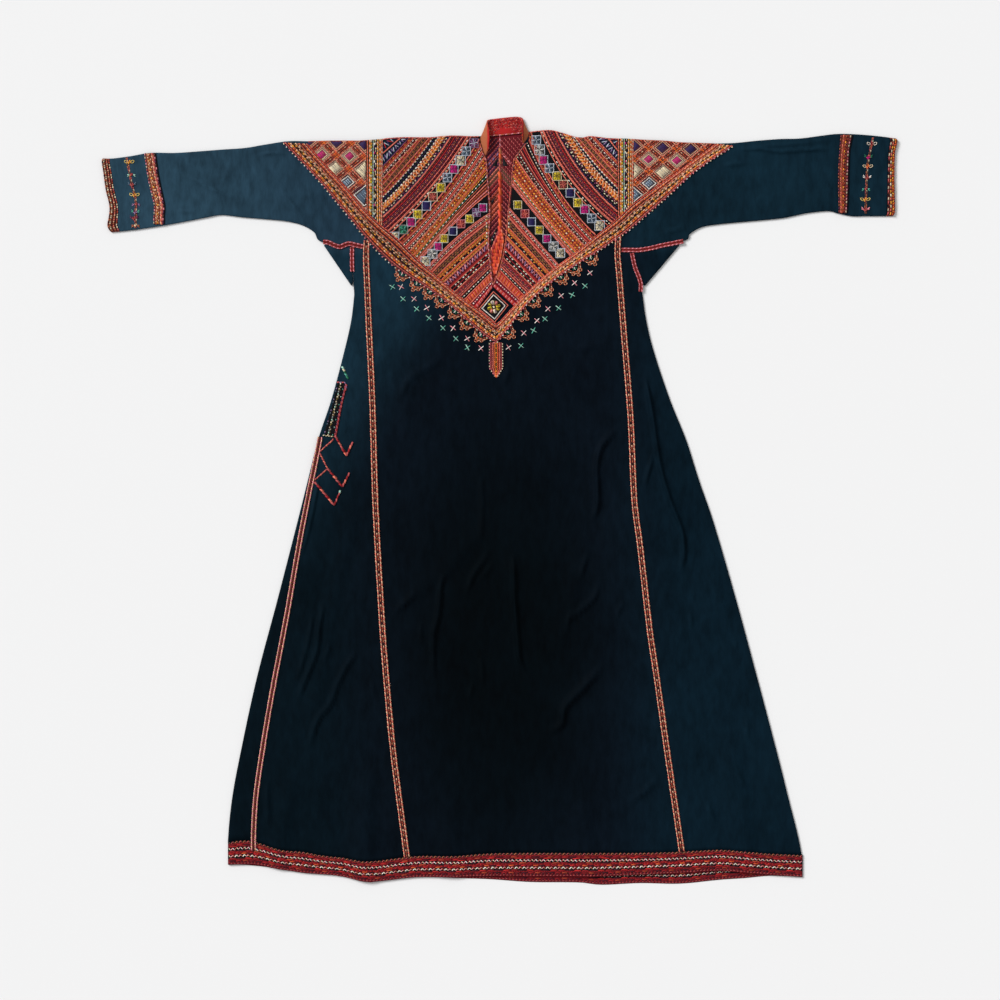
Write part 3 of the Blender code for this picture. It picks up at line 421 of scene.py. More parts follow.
# cloth colour of the hem from its upper edge: share at which each colour ends
HEM_GROUND = read(".1 black; .27 wine; .39 black; .58 wine; .72 black; 1.01 wine")
BRAID_THREADS = read("""
cord .11 salmon,peach 2.2; cord .3 garnet 1.2; dash .5 brown,coal,peach,rust 1.9 4.6 .94
cord .7 garnet 1.2; cord .89 salmon,peach 2.2""")
LINE_THREADS = read("cord .14 pink,peach 2; dash .5 garnet,coal 1.6 5 .8; cord .86 peach,pink 2")
PAIR_THREADS = read("""
cord .14 rose,pink 1.8; cord .33 crimson 1.3; cord .67 crimson 1.3; cord .86 rose,pink 1.8""")
# braids that PAIR_THREADS are laid on: width and points
BRAIDS = {
    "underarm_braid_left": (8.4, read("""
-317 465.4; -308 464.6; -298 459.8; -287 456.6; -276 461.2; -268 462.2; -257 459.2
-246 457""")),
    "underarm_braid_right": (8.0, read("""
331 466.4; 308 461.9; 289.3 458.2; 270.2 453.6; 251.3 450.6; 236 450.6; 220 450.8""")),
    "gusset_braid_left": (7.4, read("-265 456; -265.3 435.2; -264.6 412")),
    "gusset_braid_right": (7.4, read("238.5 445; 243.9 420.3; 251 402.3; 254.6 388; 254 376")),
}
TAB_THREADS = read("""
dash .03 cream,pink 1.6 5 .6; cord .14 rose 1.6; cord .29 salmon 1.8; cord .43 orange 1.8
dash .53 amber,olive 1.7 4 .9; cord .63 flame 1.8; cord .76 salmon 1.6; cord .88 rose 1.5
dash .98 cream 1.6 5 .6""")
ORNAMENT_THREADS = read("""
dash .05 black,black,mauve,slate 1.6 5 .6; dash .36 cream,olive,sand,grey,mint 2.2 4.6 .8
dash .46 coal,sand,olive 1.5 5.2 .6; dash .72 black,teal,black,mint 1.4 6.6 .4
cord .9 plum,rose 1.8; cord .99 rose,crimson 1.9""")
SPINE_THREADS = read("""
cord .02 salmon,rose 3; cord .18 scarlet,crimson 3; cord .34 flame,scarlet 3
cord .5 scarlet,flame 3; cord .66 crimson,scarlet 3; cord .82 flame,scarlet 3
cord .98 salmon,flame 3""")
# threads of the cuff ribbons from the cuff side inwards, and the ribbons' edges
CUFF_THREADS = {
    "left": read("""
dash 0 pink,sand,rose 1.9 5.6 .8; cord .13 rust,brown 1.3; cord .22 peach,brown 1.6
dash .33 peach,brown,amber 2 5.2 .9; dash .45 brown,rust,peach 1.7 4.6 .9
cord .54 umber 1.2; cord .64 salmon,peach 2.3; cord .75 rose,salmon 1.7
dash .86 umber,pink,plum 1.7 6 .8"""),
    "right": read("""
dash .08 rose,brown,plum 1.7 5.6 .8; cord .19 brick 1.3; cord .29 salmon,brown 2.1
cord .4 rust 1.5; dash .5 brown,rust,amber 2 5.4 .9; cord .61 rust,garnet 1.5
cord .71 brick 1.4; dash .82 sand,rose,pink 1.9 5.6 .8"""),
}
CUFF_RIBBONS = {
    "left": read("""
-638.5 625 -618.5 625; -631.5 579 -611.5 579; -624 546 -604.5 546; -620.5 530 -601.5 530
-621.5 512 -602.5 512; -621.5 497 -602.5 497"""),
    "right": read("""
613 657.8 637 657.6; 611 630 631.5 630; 609 590 629.5 590; 609 561 629 561
610 530 627.5 530; 610 517.6 626.5 517.2"""),
}
# rows along the cuff edge: place across it, colours, thread width, pitch
CUFF_EDGES = {
    "left": read("""
.08 umber,coal,brown 1.7 4; .27 brown,cream,sand 1.9 3.4; .45 garnet,umber 1.5 5
.62 brown,peach,salmon 1.9 3.8; .76 garnet,coal 1.4 5; .9 rose,cream,sand,rust 1.9 4.4"""),
    "right": read("""
.08 brick,rust 1.8 4; .26 flame,orange,amber 1.9 4.6; .42 brick,garnet 1.5 5
.58 amber,salmon,cream 1.9 6.4; .74 garnet,brick 1.5 5; .92 rose,sand,coal 2 6.4"""),
}
# corner lattices: centre of the first lozenge, step down and inwards, step down and outwards
LATTICES = {
    "left": read("-319.5 622.6; 23 -24.8; -26.8 -21.8"),
    "right": read("268.4 614; 25.9 -22.9; -24.8 -20.5"),
}
# by row of the lattice: dye of the middle, half its size, dye and half size of its frame
LATTICE_DYES = {key: row for key, *row in read("""
-4 yellow 6 orange 9; -3 yellow 6 orange 9; -2 navy 7.4 garnet 9.6; -1 navy 7 garnet 9.6
0 magenta 6.2 brick 10.4; 1 cream 8.6 garnet 9.8; 2 slate 6.4 coal 8.4; 3 slate 6.8 coal 8.8
4 slate 6.4 coal 8.4""")}
# colour, width and half size of the thin lines round the middle of a lozenge
LATTICE_RIMS = {
    "yellow": read("amber 1.2 6.6"),
    "navy": read("peach 1.1 9"),
    "magenta": read("sand 1.2 9.6; cream 1.2 7.2"),
    "cream": read("sand 1.2 9.2"),
    "slate": read("white 1.5 8"),
}
# lines of a second colour across the middle of a lozenge
LATTICE_LINES = {"magenta": "rose", "cream": "grey", "slate": "frost"}
# threads between the lozenges: way of stitching, how far aside, colours, width, pitch, share
LATTICE_THREADS = read("""
cord -7.4 peach,salmon 1.3; cord -5.7 garnet 1.5; dash -3.9 salmon,brown 1.5 4.6 .95
cord -2.1 garnet 1.4; dash -.4 flame,rust,peach 1.6 4.6 .95; cord 1.3 garnet 1.4
dash 3.1 brown,salmon,rust 1.5 4.6 .95; cord 4.9 garnet 1.5; cord 6.7 salmon,peach 1.3""")
# small motifs under the chest border: places
TREFOILS = read("""
-178.2 404.1; -153.9 381.4; -131.6 365.4; -110.7 350.1; -89.8 330.3; -67.5 310.5; -40.5 288.9
175.5 420.3; 144.9 402.3; 122.4 386.1; 96.3 365.4; 72.9 348.3; 53.1 324.9; 29.7 291.4""")
TEAL_CROSSES = read("""
-192.6 384.3; -173.7 362.7; -149.2 344.7; -126.9 328.5; -101.7 310.5; -78.3 291.4; -57.6 275.4
153.9 386.1; 130.5 369.9; 106.4 346.5; 81.9 326.7; 61.4 306; 38.7 278.6""")
PINK_CROSSES = read("""
-177.3 384.3; -153.9 362.7; -130.5 346.5; -104.2 328.5; -83.7 310.5; -57.6 291.4; -33.3 273.8
162.9 409.5; 135.2 391.5; 110.7 368.6; 87.3 344.7; 67.5 323.6; 43.7 301.5; 16.4 275.4""")
# cuff vines: stem line, then flowers as kind, dye of the middle, dye of the sides, x, y
VINES = {
    "left": (read("-671 617.4; -662 570; -654.6 540; -655 490"), read("""
rings amber yellow -666.4 609.1; buds rose mint -662.4 586.8; petals rose slate -661.3 568.1
rings amber yellow -657 549.9; buds rose mauve -654 533.7; petals mauve teal -655.2 518.4
petals rose plum -657.7 507.8; buds cream brown -654.8 495.5""")),
    "right": (read("672.5 653.4; 664 612; 661 580; 659 515.7"), read("""
rings crimson white 670.3 641.5; petals magenta green 664 617.4
rings orange cream 662.8 601.2; petals rose white 661.7 580.5; buds rose teal 659.7 561.1
rings amber yellow 658.3 541.6; petals rose pink 658.8 523.3""")),
}
# corded lines of the side ornament: colours, thread width, points
ORNAMENT_LINES = read("""
rose,mauve 1.9 -292.1 213.3 -278.3 212.2 -274.7 206.8 -277 198
cream,olive 1.6 -317.5 117.7 -298.4 115; mint,cream 3 -283 241 -279 233
green,teal 3.4 -279.6 234 -272.7 219; rose,crimson,salmon 3.4 -295.7 117 -275.6 81
rose,crimson,salmon 3 -275.6 81 -264.4 104.9; rose,salmon 2.2 -298.4 110.3 -322.4 88.5
rose,salmon 2.4 -323.4 85.5 -309.4 58; rose,crimson,salmon 3.6 -309.4 58 -283 25
rose,salmon,crimson 3 -283 25 -270 49.7; rose,salmon 2 -310.5 56.2 -332 37
rose,crimson,salmon 3.8 -332 33.3 -297.5 -8.1; crimson,rose 2.6 -297.5 -8.1 -287.5 14.9
mint,teal 3 -288.4 13 -286.4 18""")
# lining of the back of the neck: X of its middle, then by side the level of the arrowheads
# that each colour of cloth and each pair of rib colours ends at
SPINE = 1.4
NECK_GROUND = {
    "left": read("640 wine; 606 dusk; 580 umber; 560 garnet; 530 brick; 470 garnet; 0 brick"),
    "right": read("650 wine; 606 wine; 580 umber; 560 garnet; 520 garnet; 470 garnet; 0 brick"),
}
NECK_RIBS = {
    "left": read("""
640 rose dusk; 620 rose plum; 606 rose plum; 584 salmon umber; 562 rose crimson
520 salmon rust; 480 rose wine; 0 rose crimson"""),
    "right": read("""
606 rose wine; 584 rose umber; 556 rose crimson; 520 rose wine; 480 salmon wine
0 rose crimson"""),
}


COLLAR_LOWEST = 2.4
COLLAR_SIDE_DYES = ("brown", "flame", "orange", "umber", "rose")
COLLAR_DYES = ("red", "crimson", "rose", "scarlet", "rose", "crimson", "red", "rose", "crimson",
               "salmon")


# ---------------------------------------------------------------- curves
def curve(table, column, x):
    """Smooth values of one table column at the places x."""
    rows = np.array(table, float)
    rows = rows[np.argsort(rows[:, 0], kind="stable")]
    s, v = rows[:, 0], rows[:, column]
    slope = np.empty(len(s))
    slope[1:-1] = (v[2:] - v[:-2]) / (s[2:] - s[:-2])
    slope[0] = (v[1] - v[0]) / (s[1] - s[0])
    slope[-1] = (v[-1] - v[-2]) / (s[-1] - s[-2])
    x = np.clip(np.asarray(x, float), s[0], s[-1])
    k = np.clip(np.searchsorted(s, x, side="right") - 1, 0, len(s) - 2)
    span = s[k + 1] - s[k]
    t = (x - s[k]) / span
    return ((2 * t ** 3 - 3 * t ** 2 + 1) * v[k] + (t ** 3 - 2 * t ** 2 + t) * slope[k] * span
            + (3 * t ** 2 - 2 * t ** 3) * v[k + 1] + (t ** 3 - t ** 2) * slope[k + 1] * span)


def straight(table, x):
    """Values on the polyline through (x, y) rows, carried on past its ends."""
    rows = np.array(sorted(table), float)
    x = np.asarray(x, float)
    k = np.clip(np.searchsorted(rows[:, 0], x) - 1, 0, len(rows) - 2)
    t = (x - rows[k, 0]) / (rows[k + 1, 0] - rows[k, 0])
    return mix(rows[k, 1], rows[k + 1, 1], t)


def mix(a, b, t):
    return a + (b - a) * t


def shares(count):
    """Even shares from 0 to 1."""
    return np.linspace(0.0, 1.0, count)


def seam_at(table, above, y):
    """X of a seam, which runs straight above a level."""
    return np.where(np.asarray(y) > above, straight(table, y), curve(table, 1, y))


def ease(t):
    t = np.clip(t, 0.0, 1.0)
    return t * t * (3.0 - 2.0 * t)


def along(table, count):
    """The rows of a table of points joined by a smooth curve, at an even pace."""
    table = np.array(table, float)
    station = np.arange(len(table), dtype=float)
    rows = np.column_stack([station, table])
    at = np.linspace(0, len(table) - 1, count)
    return np.column_stack([curve(rows, c + 1, at) for c in range(table.shape[1])])


def fold_left(y):
    return curve(BODY_FOLDS, 1, y)


def fold_right(y):
    return curve(BODY_FOLDS, 2, y)


def seam_left(y):
    return seam_at(LEFT_SEAM, STRAIGHT_ABOVE[0], y)


def seam_right(y):
    return seam_at(RIGHT_SEAM, STRAIGHT_ABOVE[1], y)


def shoulder(x):
    return curve(SHOULDER, 1, x)


LEFT_LOW, LEFT_TOP = np.split(np.array(LEFT_SLEEVE), 2, axis=1)
RIGHT_LOW, RIGHT_TOP = np.split(np.array(RIGHT_SLEEVE)[::-1], 2, axis=1)
TOP_LINE = np.vstack([LEFT_TOP[:-1], SHOULDER, RIGHT_TOP[1:]])


def edge_room(x, y):
    """How far a place on the front layer is from the nearest edge of the laid dress."""
    side = np.where((x < -236) | (x > 211), STRAIGHT_ABOVE[0] - y, FAR)
    body = np.minimum.reduce([x - fold_left(y), fold_right(y) - x, y - curve(HEM, 1, x),
                              np.abs(side)])
    low = y - np.where(x < 0, np.interp(x, *LEFT_LOW.T), np.interp(x, *RIGHT_LOW.T))
    low = np.where((x < -238) | (x > 213), low, FAR)
    arm = np.minimum.reduce([np.interp(x, *TOP_LINE.T) - y, low, x + 712.0, 712.0 - x])
    return np.where(y < UNDERARM, body, arm)


def hump(share):
    """A rounded rise, 1 in its middle and 0 at its sides."""
    return 0.5 * (1.0 + np.cos(np.pi * np.clip(share, 0.0, 1.0)))


def thinned(at, length, most):
    """How full a fold is at a place along it, thinner towards both ends."""
    thin = min(most, length / 2.2)
    return ease(at / thin) * ease((length - at) / thin)


def crisp(x, y):
    """Height of the crisp folds, each steeper on one side and thin at its ends."""
    rise = np.zeros_like(x)
    for half, high, points in FOLD_LINES:
        low, top = points.min(axis=0) - 1.3 * half, points.max(axis=0) + 1.3 * half
        near = (x > low[0]) & (x < top[0]) & (y > low[1]) & (y < top[1])
        if not near.any():
            continue
        u, v = x[near], y[near]
        off, side, at, run = np.full(u.shape, 1e9), np.zeros(u.shape), np.zeros(u.shape), 0.0
        for (x0, y0), (x1, y1) in zip(points, points[1:]):
            dx, dy = x1 - x0, y1 - y0
            length = math.hypot(dx, dy)
            t = np.clip(((u - x0) * dx + (v - y0) * dy) / length ** 2, 0.0, 1.0)
            ox, oy = u - x0 - t * dx, v - y0 - t * dy
            far = np.hypot(ox, oy)
            closer = far < off
            off, side = np.where(closer, far, off), np.where(closer, ox * dy - oy * dx, side)
            at = np.where(closer, run + t * length, at)
            run += length
        width = half * np.where(side > 0, 1.28, 0.72)
        rise[near] = np.maximum(rise[near], high * thinned(at, run, 40.0) * hump(off / width))
    return rise


def ridges(table, x, y, lean):
    """Height of a set of soft folds, each steeper on one side."""
    rise = np.zeros_like(x)
    for x0, y0, x1, y1, half, high in table:
        dx, dy = x1 - x0, y1 - y0
        length = math.hypot(dx, dy)
        t = ((x - x0) * dx + (y - y0) * dy) / length
        off = ((x - x0) * dy - (y - y0) * dx) / length
        off = off + half * 0.12 * np.sin(t * 6.0 / length + half)
        width = half * np.where(off > 0, 1.0 + lean, 1.0 - lean)
        rise = np.maximum(rise, high * thinned(t, length, 50.0) * hump(np.abs(off) / width))
    return rise


FOLD_LINES = [(half, 1.6 * high, along(np.reshape(line, (-1, 2)), 2 * len(line)))
              for half, high, *line in FOLDS]
PUCKER_COUNT = 700
draw = np.random.default_rng(7)
PUCKERS = np.column_stack([
    draw.uniform(-690, 690, PUCKER_COUNT), draw.uniform(-670, 650, PUCKER_COUNT),
    draw.normal(0.0, 0.45, PUCKER_COUNT), draw.uniform(16, 70, PUCKER_COUNT),
    draw.uniform(3.0, 7.0, PUCKER_COUNT), draw.uniform(-0.3, 0.5, PUCKER_COUNT)])


def puckers(x, y):
    """Many slight ripples of the cloth, mostly along the dress."""
    rise = np.zeros_like(x)
    for px, py, lean, length, half, high in PUCKERS:
        near = (np.abs(x - px) < length) & (np.abs(y - py) < length)
        if not near.any():
            continue
        ux, uy = math.sin(lean), math.cos(lean)
        dx, dy = x[near] - px, y[near] - py
        t = (dx * ux + dy * uy) / length
        off = (dx * uy - dy * ux) / half
        rise[near] += high * np.exp(-4.0 * t * t) * np.exp(-1.4 * off * off)
    return rise


def lie(x, y):
    """Height of the upper face of the front layer."""
    x, y = np.broadcast_arrays(np.asarray(x, float), np.asarray(y, float))
    shape = x.shape
    x, y = x.ravel().copy(), y.ravel().copy()
    room = edge_room(x, y)
    seams = np.minimum.reduce([
        np.abs(x - seam_left(y)), np.abs(x - seam_right(y)), np.abs(x - fold_left(y) - 6.0),
        np.abs(x - fold_right(y) + 6.0), np.abs(x - fold_left(y) - curve(SIDE_SEAM, 1, y))])
    large = ridges(SWELLS, x, y, 0.25) * ease((seams - 8.0) / 18.0)
    sewn = crisp(x, y) * ease((seams - 3.0) / 9.0)
    rise = large + (sewn + puckers(x, y)) * ease((room - 3.0) / 12.0)
    return (FRONT + rise).reshape(shape)


def rest_on_floor(x, y):
    """How far the layer underneath is off the floor."""
    x, y = np.broadcast_arrays(np.asarray(x, float), np.asarray(y, float))
    return ridges(BACK_FOLDS, x, y, 0.2) * ease((edge_room(x, y) - 12.0) / 20.0)


def stacked(x, y, z):
    return np.stack(np.broadcast_arrays(x, y, z), axis=-1)


def on_front(x, y, lift=0.0):
    """Points on the upper face of the front layer, or a little over it."""
    return stacked(x, y, lie(x, y) + lift)


def on_floor(x, y):
    """Points of the layer underneath."""
    return stacked(x, y, rest_on_floor(x, y))


# ---------------------------------------------------------------- shader writing
class Value:
    """A number or colour inside a material that adds its nodes as it is worked with."""

    def __init__(self, paint, socket):
        self.paint = paint
        self.socket = socket

    def work(self, operation, first, second):
        return self.paint.node("ShaderNodeMath", {"operation": operation}, {0: first, 1: second})

    def __add__(self, other):
        return self.work("ADD", self, other)

    __radd__ = __add__

    def __sub__(self, other):
        return self.work("SUBTRACT", self, other)

    def __rsub__(self, other):
        return self.work("SUBTRACT", other, self)

    def __mul__(self, other):
        return self.work("MULTIPLY", self, other)

    __rmul__ = __mul__

    def wave(self, length):
        """A sine along this distance, one wave for each length, from 0 to 1."""
        return self.work("SINE", self * (2.0 * math.pi / length), 0.0) * 0.5 + 0.5

    def between(self, low, high):
        """0 below low, 1 above high, smooth in the middle."""
        return self.paint.node("ShaderNodeMapRange", {"interpolation_type": "SMOOTHSTEP"},
                               {"Value": self, "From Min": low, "From Max": high})


class Paint:
    """Writes one material round its Principled shader."""

    def __init__(self, name, roughness, gloss, sheen=0.0):
        self.material = bpy.data.materials.new(name)
        self.material.use_nodes = True
        self.tree = self.material.node_tree
        self.shader = self.tree.nodes["Principled BSDF"]
        self.shader.inputs["Roughness"].default_value = roughness
        self.shader.inputs["Specular IOR Level"].default_value = gloss
        self.shader.inputs["Sheen Weight"].default_value = sheen
        self.shader.inputs["Sheen Roughness"].default_value = 0.5

    def node(self, kind, settings=None, inputs=None, output=0):
        node = self.tree.nodes.new(kind)
        for key, value in (settings or {}).items():
            setattr(node, key, value)
        for key, value in (inputs or {}).items():
            if isinstance(value, Value):
                self.tree.links.new(value.socket, node.inputs[key])
            else:
                node.inputs[key].default_value = value
        return Value(self, node.outputs[output])

    def spot(self):
        """The place on the object."""
        return self.node("ShaderNodeTexCoord", output="Object")

    def part(self, value, axis):
        return self.node("ShaderNodeSeparateXYZ", None, {0: value}, axis)

    def stretched(self, value, factors):
        return self.node("ShaderNodeVectorMath", {"operation": "MULTIPLY"}, {0: value, 1: factors})

    def dye(self):
        """The colour that the piece carries."""
        return self.node("ShaderNodeAttribute", {"attribute_name": "dye"}, None, "Color")

    def noise(self, spot, scale, detail=2.0):
        return self.node("ShaderNodeTexNoise", None,
                         {"Vector": spot, "Scale": scale, "Detail": detail}, "Fac")

    def blend(self, share, first, second, kind="MIX"):
        return self.node("ShaderNodeMix", {"data_type": "RGBA", "blend_type": kind},
                         {"Factor": share, 6: first, 7: second}, 2)

    def bump(self, height, strength, distance):
        return self.node("ShaderNodeBump", None,
                         {"Height": height, "Strength": strength, "Distance": distance})

    def feed(self, name, value):
        self.tree.links.new(value.socket, self.shader.inputs[name])


def full(colour):
    return tuple(float(c) for c in colour) + (1.0,)


@cache
def cotton():
    """Indigo cotton: fine plain weave, lighter on the left sleeve, darkest down the middle."""
    look = bpy.context.scene.dress_cloth
    paint = Paint("indigo_cotton", 0.7, look.gloss)
    spot = paint.spot()
    x, y = paint.part(spot, "X"), paint.part(spot, "Y")
    leftwards = 0.0 - x
    slub = paint.noise(paint.stretched(spot, (1.0, 0.12, 1.0)), 900.0)
    patch = paint.noise(spot, 7.0, 3.0)
    weave = x.wave(look.weave) * y.wave(look.weave * 1.07)
    arms = y.between(0.438, 0.462)
    left_arm = leftwards.between(0.20, 0.26) * arms
    right_arm = x.between(0.20, 0.26) * arms
    offset = paint.node("ShaderNodeVectorMath", {"operation": "MULTIPLY_ADD"},
                        {0: spot, 1: (2.6, 1.25, 0.0), 2: (0.0, 0.33, 0.0)})
    away = paint.node("ShaderNodeVectorMath", {"operation": "LENGTH"}, {0: offset}, "Value")
    # Colour by region: darkest down the middle; lighter at the sides, on the sleeves and below the
    # left arm; darker on the left sleeve next to the body; a little lighter towards the lower
    # right.
    colour = paint.blend(away.between(0.15, 0.8), full(look.middle), full(look.ends))
    for share, own in ((x.between(0.17, 0.34), look.right_side),
                       (leftwards.between(0.17, 0.34), look.left_side),
                       ((y * 3.2 - x * 5.2).between(1.3, 2.4), look.upper_left),
                       (right_arm, look.right_sleeve), (left_arm, look.left_sleeve)):
        colour = paint.blend(share, colour, full(own))
    near = leftwards.between(0.56, 0.24) * left_arm
    colour = paint.blend(near * 0.8, colour, (0.56, 0.58, 0.64, 1.0), "MULTIPLY")
    cloudy = paint.noise(paint.stretched(spot, (1.0, 0.4, 1.0)), 90.0, 3.0)
    low_right = (x - y).between(0.45, 1.0) * 0.15
    wear = (0.5 + (patch - 0.5) * 0.9 + (slub - 0.5) * 0.45 + (cloudy - 0.5) * 1.0
            + (weave - 0.25) * 0.1 + low_right)
    tone = paint.blend(wear, (0.6, 0.6, 0.6, 1.0), (1.9, 1.9, 1.9, 1.0))
    paint.feed("Base Color", paint.blend(1.0, colour, tone, "MULTIPLY"))
    paint.feed("Roughness", 0.62 + 0.2 * slub)
    paint.feed("Normal", paint.bump(weave + slub * 0.6, 0.35, 0.0002))
    return paint.material


@cache
def silk():
    """Floss silk in the colour that each stitch carries."""
    paint = Paint("floss_silk", 0.5, bpy.context.scene.dress_silk.gloss, 0.02)
    fibre = paint.noise(paint.spot(), 1500.0)
    worn = paint.blend(fibre * 0.5, paint.dye(), (0.62, 0.6, 0.58, 1.0), "MULTIPLY")
    paint.feed("Base Color", worn)
    paint.feed("Roughness", 0.4 + 0.25 * fibre)
    paint.feed("Normal", paint.bump(fibre, 0.4, 0.0002))
    return paint.material


@cache
def stitched_ground():
    """Cloth covered by close flat stitches, in the colour of each row."""
    paint = Paint("stitched_ground", 0.6, 0.08)
    fibre = paint.noise(paint.spot(), 900.0)
    across = paint.part(paint.node("ShaderNodeUVMap", {"uv_map": "lay"}), "X").wave(0.0014)
    shade = fibre * 0.35 + across * 0.35
    paint.feed("Base Color", paint.blend(shade, paint.dye(), (0.4, 0.38, 0.38, 1.0), "MULTIPLY"))
    paint.feed("Roughness", 0.5 + 0.25 * fibre)
    paint.feed("Normal", paint.bump(across + fibre * 0.4, 0.5, 0.0004))
    return paint.material


# ---------------------------------------------------------------- cloth pieces
SMALLEST_CUT = 0.011      # shortest side in metres that a cut of cloth is given


def placed(name, mesh, nodes=()):
    """A mesh as a piece of the dress, with the solids that it stands for."""
    obj = bpy.data.objects.new(name, mesh)
    bpy.context.scene.collection.objects.link(obj)
    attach(obj, "root")
    if nodes:
        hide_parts(*nodes)
    return obj


def cloth(name, grids, nodes, rests_on, dyes=None, paint_at=None, wall=None):
    """A thin shell through rows of points. It is silk where it has a dye for each row or a colour
    for each point, and cotton otherwise."""
    silken = bool(dyes or paint_at)
    scene = bpy.context.scene
    wall = wall or (scene.dress_silk.ground if silken else scene.dress_cloth.wall)
    bm = bmesh.new()
    lay = bm.loops.layers.uv.new("lay")
    tint = bm.loops.layers.float_color.new("dye") if silken else None
    size = [0.0, 0.0]
    for points in grids:
        high, wide = points.shape[0] - 1, points.shape[1] - 1
        made = bmesh.ops.create_grid(bm, x_segments=wide, y_segments=high, size=0.5)
        place = {v: (int(round((v.co.y + 0.5) * high)), int(round((v.co.x + 0.5) * wide)))
                 for v in made["verts"]}
        run = np.zeros((high + 1, wide + 1))
        run[:, 1:] = np.cumsum(np.linalg.norm(np.diff(points, axis=1), axis=2), axis=1)
        fall = np.zeros((high + 1, wide + 1))
        fall[1:] = np.cumsum(np.linalg.norm(np.diff(points, axis=0), axis=2), axis=0)
        size = [size[0] + float(run.max()) * MM, max(size[1], float(fall.max()) * MM)]
        for face in {f for v in made["verts"] for f in v.link_faces}:
            row = min(place[v][0] for v in face.verts)
            for loop in face.loops:
                j, i = place[loop.vert]
                loop[lay].uv = (run[j, i] * MM, fall[j, i] * MM)
                if tint is not None:
                    loop[tint] = full(DYES[dyes[row]] if dyes else paint_at(points[j, i]))
        for vert, (j, i) in place.items():
            x, y, z = points[j, i]
            vert.co = (x * MM, (y + CENTRE_Y) * MM, z * MM)
    bmesh.ops.remove_doubles(bm, verts=bm.verts, dist=0.00002)
    bmesh.ops.dissolve_degenerate(bm, edges=bm.edges, dist=0.00001)
    bmesh.ops.recalc_face_normals(bm, faces=bm.faces)
    bm.normal_update()
    way = sum(f.normal.z * f.calc_area() * (1.0 if f.calc_center_median().z > ROLL * MM else -1.0)
              for f in bm.faces)
    if way < 0:
        bmesh.ops.reverse_faces(bm, faces=bm.faces)
    for face in bm.faces:
        face.smooth = True
    area = sum(f.calc_area() for f in bm.faces)
    mesh = bpy.data.meshes.new(name)
    bm.to_mesh(mesh)
    bm.free()
    mesh.materials.append(stitched_ground() if silken else cotton())
    obj = placed(name, mesh, nodes)
    shell = obj.modifiers.new("wall", "SOLIDIFY")
    shell.thickness = wall * MM
    shell.offset = -1.0
    flat = (max(size[0], SMALLEST_CUT), max(size[1], SMALLEST_CUT))
    float(np.clip(area, 0.3 * flat[0] * flat[1], flat[0] * flat[1]))
    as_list(rests_on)


def bent(d):
    """Angle of the fold at d along the cloth from mid height."""
    return np.clip(d / ROLL, -math.pi / 2, math.pi / 2)


def turned(edge_x, edge_y, inward, d):
    """Outer face of a layer that turns over at an edge, d along the cloth from mid height."""
    out = ROLL - ROLL * np.cos(bent(d)) + np.maximum(np.abs(d) - ARC, 0.0)
    return stacked(edge_x + inward[0] * out, edge_y + inward[1] * out,
                   ROLL + ROLL * np.sin(bent(d)))


def shoulder_turn(x, start, end):
    """Rows over the shoulder, from one place along the cloth to another."""
    return [turned(x, shoulder(x), (0.0, -1.0), np.full_like(x, d))
            for d in np.linspace(start, end, 5)]


def lowered(level, x, layer):
    edge = curve(HEM, layer, x) + curve(HEM, 3, x) + SEAM_GAP
    return level + (edge - HEM_REST) * ease((ARMPIT - level) / (ARMPIT - HEM_REST) * 3.3 - 2.3)


def settle(level, layer, x_at):
    """Points of a row whose x depends on the level and whose level depends on x."""
    y = np.asarray(level, float)
    for _ in range(4):
        y = lowered(level, x_at(y), layer)
    return x_at(y), y


def body_levels(step):
    count = int(round((UNDERARM - HEM_REST) / step))
    return np.linspace(UNDERARM, HEM_REST, count + 1)


def front_middle(side):
    """Rows of the left (side 1) or right (side -1) half of the middle front panel."""
    count, edge = (84, 1) if side > 0 else (92, 2)
    t = shares(count + 1)
    rows = []

    def across(middle, seam_y):
        if side > 0:
            return mix(seam_left(seam_y) + HALF_GAP, middle, t)
        return mix(middle, seam_right(seam_y) - HALF_GAP, t)

    def x_at(v):
        middle = mix(-12.0, 81.0, (SLIT_END - v) / (SLIT_END - HEM_REST))
        return across(np.where(v >= SLIT_END, curve(SLIT, edge, v), middle), v)

    a, b = (SHOULDER_ENDS[0] + HALF_GAP, -36.0) if side > 0 else (56.0, SHOULDER_ENDS[1] - HALF_GAP)
    rows += shoulder_turn(mix(a, b, t), HALF_GAP, ARC)
    for s in shares(34)[1:]:
        x = across(curve(SLIT, edge, mix(656.0, UNDERARM, s)), mix(649.0, UNDERARM, s))
        rows.append(on_front(x, mix(shoulder(x) - ROLL, UNDERARM, s)))
    for level in body_levels(6.0)[1:]:
        rows.append(on_front(*settle(level, 1, x_at)))
    return np.array(rows)


def back_middle():
    t = shares(61)
    x = mix(SHOULDER_ENDS[0] + HALF_GAP, SHOULDER_ENDS[1] - HALF_GAP, t)
    rows = shoulder_turn(x, -HALF_GAP, -ARC)
    top = shoulder(x) - ROLL
    for s in shares(22)[1:]:
        x = mix(seam_left(mix(649.0, UNDERARM, s)) + HALF_GAP,
                seam_right(mix(650.0, UNDERARM, s)) - HALF_GAP, t)
        rows.append(on_floor(x, mix(top, UNDERARM, s)))
    for level in body_levels(12.0)[1:]:
        rows.append(on_floor(*settle(level, 2, lambda v: mix(seam_left(v) + HALF_GAP,
                                                             seam_right(v) - HALF_GAP, t))))
    return np.array(rows)


